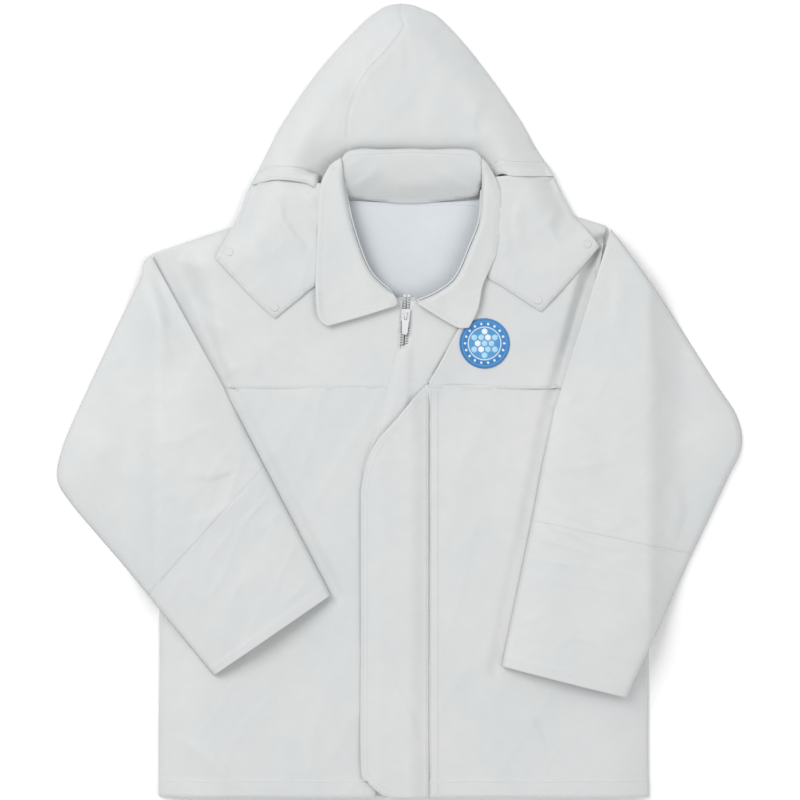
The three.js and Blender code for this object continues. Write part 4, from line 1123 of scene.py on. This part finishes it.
def ring_of_threads(name, radius, width, high, count, z, material):
    """A satin-stitched ring: one rounded thread beside the next, lying across the ring."""
    points, faces = [], []
    for k in range(count):
        a = 2 * math.pi * k / count
        half = math.pi / count * 1.05
        first = len(points)
        for t, lift in ((-0.5, 0.15), (-0.3, 0.8), (0, 1), (0.3, 0.8), (0.5, 0.15)):
            for turn, up in ((-half, 0), (0, 1), (half, 0)):
                r = radius + width * t
                points.append((PATCH_X + r * math.cos(a + turn), PATCH_Y + r * math.sin(a + turn),
                               z + high * lift * (0.72 + 0.28 * up)))
        for i in range(4):
            for j in range(2):
                p = first + i * 3 + j
                faces.append((p, p + 3, p + 4, p + 1))
    return dress(make_object(name, points, faces, material), "patch", "torso")


def hexagon(name, cx, cy, radius, z, high, material):
    """One honeycomb cell of slanted satin threads."""
    turns = [math.radians(60 * k + 30) for k in range(7)]
    outline = [(radius * math.cos(a), radius * math.sin(a)) for a in turns]
    flat, faces = filled(spaced(outline, 0.9)[:-1], 1.1)
    x, y = flat.T
    edge = away(x, y, outline)
    top = z + high * rise(edge, 1.4) + 0.12 * np.sin((x + y * 0.5) * 5)
    solid, made = thickened(np.column_stack([x + cx, y + cy, top]), faces, 0.3)
    return dress(make_object(name, solid, made, material), "patch", "torso")


def lay_on_yoke(obj):
    """Moves a flat piece's points with the unevenness of the cloth below it."""
    points = np.array([v.co[:] for v in obj.data.vertices]) / MM
    x, y = points[:, 0], points[:, 1]
    points[:, 2] += yoke_left_height(x, y) - FRONT_TOP
    obj.data.vertices.foreach_set("co", (points * MM).ravel())


MARKS, MARK_RING, CELL = 18, 24.3, 4.9
CELL_ROWS = (-2, 3), (-1, 4), (0, 3), (1, 4), (2, 3)  # row and how many cells it has room for
CELLS_WITHIN = 15.6


def make_patch():
    z = FRONT_TOP + 0.3
    profile = [(PATCH_R, 0), (PATCH_R, 0.7), (PATCH_R - 1, 1.0), *[(r, 1.1) for r in range(28, -1, -4)]]
    made = [
        turned("chest_patch_ground", profile, (PATCH_X, PATCH_Y, z), (0, 0, 1), "torso", blue_mid, "patch",
               ["chest_patch"], 96),
        ring_of_threads("chest_patch_border", PATCH_R - 1.4, 3.0, 1.0, 150, z + 0.7, blue_dark),
        ring_of_threads("chest_patch_band", PATCH_R - 6.6, 6.4, 0.5, 130, z + 0.9, blue_dark),
        ring_of_threads("chest_patch_inner_ring", PATCH_R - 10.8, 1.2, 0.8, 100, z + 0.9, white_thread),
    ]
    for k in range(MARKS):
        a = 2 * math.pi * k / MARKS
        x, y = PATCH_X + MARK_RING * math.cos(a), PATCH_Y + MARK_RING * math.sin(a)
        made.append(hexagon(f"chest_patch_mark_{k + 1}", x, y, 1.9, z + 1.2, 0.5, white_thread))
    for row, count in CELL_ROWS:
        for k in range(count):
            x, y = (k - (count - 1) / 2) * CELL * math.sqrt(3), row * CELL * 1.5
            if math.hypot(x, y) < CELLS_WITHIN:
                kind = white_thread if (k + row) % 3 == 0 else blue_light
                name = f"chest_patch_cell_{row + 3}_{k + 1}"
                made.append(hexagon(name, PATCH_X + x, PATCH_Y + y, CELL * 0.86, z + 1.1, 0.7, kind))
    for obj in made:
        lay_on_yoke(obj)


make_patch()


# ---------- sleeves ----------
SLEEVES = {
    "right": dict(
        side=-1, seed=91, direction=-115, bent=30, seam=False,
        outer=[(-308, 180), (-317, 169), (-318, 158), (-322, 147), (-352, 86), (-394, -4), (-417, -58),
               (-424, -98), (-408, -127), (-372, -170), (-310.1, -241.9), (-229.2, -340.5)],
        inner=[(-217.4, 15.9), (-192, -33), (-166.7, -81.7), (-84.1, -240.9)], elbow=(10, 2),
    ),
    "left": dict(
        side=1, seed=96, direction=-60, bent=150, seam=True,
        outer=[(263, 212), (330, 118), (392, 22), (419, -20), (425, -58), (408, -96), (377.8, -160.9),
               (363, -192), (330, -262), (281.6, -368.2)],
        inner=[(190.9, -18.0), (176, -84), (163.9, -148.6), (126.5, -328.9)], elbow=(7, 2),
    ),
}
SLEEVE_AIR, SLEEVE_WALL, SLEEVE_LENGTH = 13, 1.1, 0.36
LIFT_UPPER, LIFT_FOREARM = 0.8, 1.6  # clearance over the front
ELBOW, LAP = 0.5, 0.01  # share of the length where the forearm begins, and how far it reaches under
TUCK = 0.35
SLEEVE_FOLDS = {
    "right": [
        ([(-290, 120), (-292, 80), (-280, 40)], 14, 1.8, 1),
        ([(-196, -84), (-230, -96), (-262, -92)], 10, 2.0, 1),
        ([(-180, -110), (-222, -140), (-270, -150)], 14, 1.8, -1),
        ([(-390, -40), (-350, -70), (-320, -120)], 18, 1.8, 0),
        ([(-230, -200), (-205, -240), (-190, -290)], 14, 1.5, 1),
    ],
    "left": [
        ([(262, 180), (270, 130), (262, 80)], 15, 1.6, -1),
        ([(180, -60), (220, -80), (262, -76)], 12, 1.8, 1),
        ([(345, -92), (350, -140), (338, -186)], 13, 2.2, 1),
        ([(300, 60), (330, 10), (340, -50)], 20, 1.6, 0),
        ([(290, -250), (310, -300), (286, -350)], 16, 2.0, 1),
        ([(180, -190), (190, -250), (182, -310)], 16, 1.4, 0),
    ],
}


def sleeve_base(x, lift):
    """Underside of a sleeve: down on the floor beside the torso, up on the front over it."""
    low = 0.5
    return low + (FRONT_TOP + lift - low) * (1 - rise(-from_sides(x), 50))


def sleeve_relief(name, s, u, x, y):
    """Folds on a sleeve's upper layer: s runs from armhole to cuff, u from its outer to its inner edge."""
    seed, direction = SLEEVES[name]["seed"], SLEEVES[name]["direction"]
    elbow = np.exp(-(((s - ELBOW) / 0.2) ** 2))
    uneven = ripple(x, y, seed, 90, 0.9, direction, 2.0)
    uneven = uneven + crumple(x, y, seed + 1, 75, 0.9, direction + 25, 1.7)
    bent = crumple(x, y, seed + 2, 42, 1.6, SLEEVES[name]["bent"], 2.4) * elbow * u
    cuff = 0.7 * ease((s - 0.956) / 0.004)
    marked = folds(x, y, SLEEVE_FOLDS[name])
    return (uneven + bent + marked) * rise(np.minimum(u, 1 - u), 0.22) * ease(s / 0.05) + cuff


def path_at(path, share):
    """Points at shares of a path's length."""
    p = np.array(path, float)
    run = np.concatenate([[0], np.cumsum(np.hypot(*np.diff(p, axis=0).T))])
    return np.stack([np.interp(share, run / run[-1], p[:, i]) for i in (0, 1)], -1)


def edge_share(s, elbow_share):
    """Share of an edge's length for a share of the sleeve's, which counts each part as a half."""
    past = elbow_share + (s - ELBOW) / ELBOW * (1 - elbow_share)
    return np.where(s < ELBOW, s / ELBOW * elbow_share, past)


def sleeve_surface(name):
    """A function that gives points at shares s of the sleeve's length and u of its width. top is how far the
    upper layer stands clear of the lower, or None for the lower one, and tuck flattens it under the elbow."""
    plan = SLEEVES[name]
    edges = []
    for path, corner in zip((plan["outer"], plan["inner"]), plan["elbow"]):
        x, y = np.array([path[corner]], float).T
        edges.append((curve(path), along(x, y, curve(path))[1][0]))

    def surface_at(s, u, top, tuck=0.0):
        outer, inside = (path_at(path, edge_share(s, share)) for path, share in edges)
        xy = outer + (inside - outer) * u[..., None]
        x, y = xy[..., 0], xy[..., 1]
        lift = LIFT_UPPER + (LIFT_FOREARM - LIFT_UPPER) * ease((s - 0.4) / 0.1)
        free = sleeve_base(x, lift)
        seat = np.minimum(free, front(x, y) + CLOTH + 1.0)
        z = seat + (free - seat) * ease(s / 0.06) + SLEEVE_WALL
        if top is not None:
            air = SLEEVE_AIR * (0.22 + 0.78 * ease(s / 0.3))
            top = top * (1 - tuck * ease((ELBOW - s) / 0.002 + 0.5) / (4 + air * 0.9))
            swell = 3.9 - SLEEVE_WALL + air * np.sin(math.pi * u) ** 0.45
            z = z + (swell + sleeve_relief(name, s, u, x, y)) * top
        return np.stack([x, y, z], -1)

    return surface_at


def sleeve_tube(name, part, surface_at, s_from, s_to, rides, tuck=0.0):
    """One part of a sleeve as an open tube, and its rings of points."""
    rows, across = 84, 44
    even = np.linspace(0, 1, across)
    shares = 0.65 * (0.5 - 0.5 * np.cos(math.pi * even)) + 0.35 * even
    s, u = np.meshgrid(np.linspace(s_from, s_to, rows), shares, indexing="ij")
    upper = surface_at(s, u, rise(np.minimum(u, 1 - u), 0.02), tuck)
    ring = np.concatenate([upper, surface_at(s, u, None)[:, ::-1][:, 1:-1]], 1)
    n, faces = ring.shape[1], []
    for row in range(rows - 1):
        for k in range(n):
            a, b = row * n + k, row * n + (k + 1) % n
            faces.append((a, b, b + n, a + n) if SLEEVES[name]["side"] < 0 else (b, a, a + n, b + n))
    solid, made = thickened(ring.reshape(-1, 3), faces, 0.35)
    obj = make_object(f"sleeve_{part}_{name}_cloth", solid, made, shell)
    return dress(obj, "shell_cloth", rides, [f"sleeve_{part}_{name}"]), ring


def sleeve_stitches(name, surface_at, rows, rides):
    """Stitch rows on the upper layer, each across the sleeve from its outer to its inner edge."""
    t = np.linspace(0, 1, 60)
    runs = [surface_at(s + 0 * t, end + (1 - 2 * end) * t, np.ones(60)) for s, end in rows]
    place = np.vstack(runs)

    def height(x, y):
        d = (x[:, None] - place[None, :, 0]) ** 2 + (y[:, None] - place[None, :, 1]) ** 2
        return place[d.argmin(1), 2] + 0.1
    return stitches(name, [run[:, :2] for run in runs], height, rides)


def sleeve_sheet(ring):
    """Girths of a tube's rings and the steps along it, worked out and then not used."""
    girths = [float(np.linalg.norm(np.diff(row, axis=0, append=row[:1]), axis=1).sum()) for row in ring]
    steps = np.linalg.norm(np.diff(ring, axis=0).mean(1), axis=1)


def make_sleeve(name):
    plan, surface_at = SLEEVES[name], sleeve_surface(name)
    outer, inside = np.array(plan["outer"], float), np.array(plan["inner"], float)
    cut_outer, cut_inner = plan["elbow"]
    arm, across = (outer[0] + inside[0]) / 2, inside[0] - outer[0]
    normal = np.array([across[1], -across[0]]) / np.hypot(*across)
    normal *= np.sign(np.dot(normal, outer[3] - arm))
    upper_ride = ("torso", f"sleeve_{name}", (*(arm + normal * 2), 20), (*(arm + normal * 38), 20))
    elbow = (outer[cut_outer] + inside[cut_inner]) / 2
    run = outer[-1] - outer[cut_outer]
    run = run / np.hypot(*run)
    ahead = max(np.dot(end - elbow, run) for end in (outer[cut_outer], inside[cut_inner]))
    bend = [(*(elbow + run * (ahead + d)), 20) for d in (2, 40)]
    lower_ride = (f"sleeve_{name}", f"forearm_{name}", *bend)
    upper, upper_ring = sleeve_tube(name, "upper", surface_at, 0, ELBOW, upper_ride)
    lower, lower_ring = sleeve_tube(name, "forearm", surface_at, ELBOW - LAP, 1, lower_ride, TUCK)
    armhole = sleeve_stitches(f"sleeve_{name}_armhole_stitches", surface_at, [(0.012, 0.03)], upper_ride)
    rows = [(0.972, 0.02), (0.996, 0.02)] + ([(0.506, 0.03), (0.522, 0.03)] if plan["seam"] else [])
    cuff = sleeve_stitches(f"sleeve_{name}_cuff_stitches", surface_at, rows, lower_ride)
    sleeve_sheet(upper_ring)
    sleeve_sheet(lower_ring)


make_sleeve("right")
make_sleeve("left")
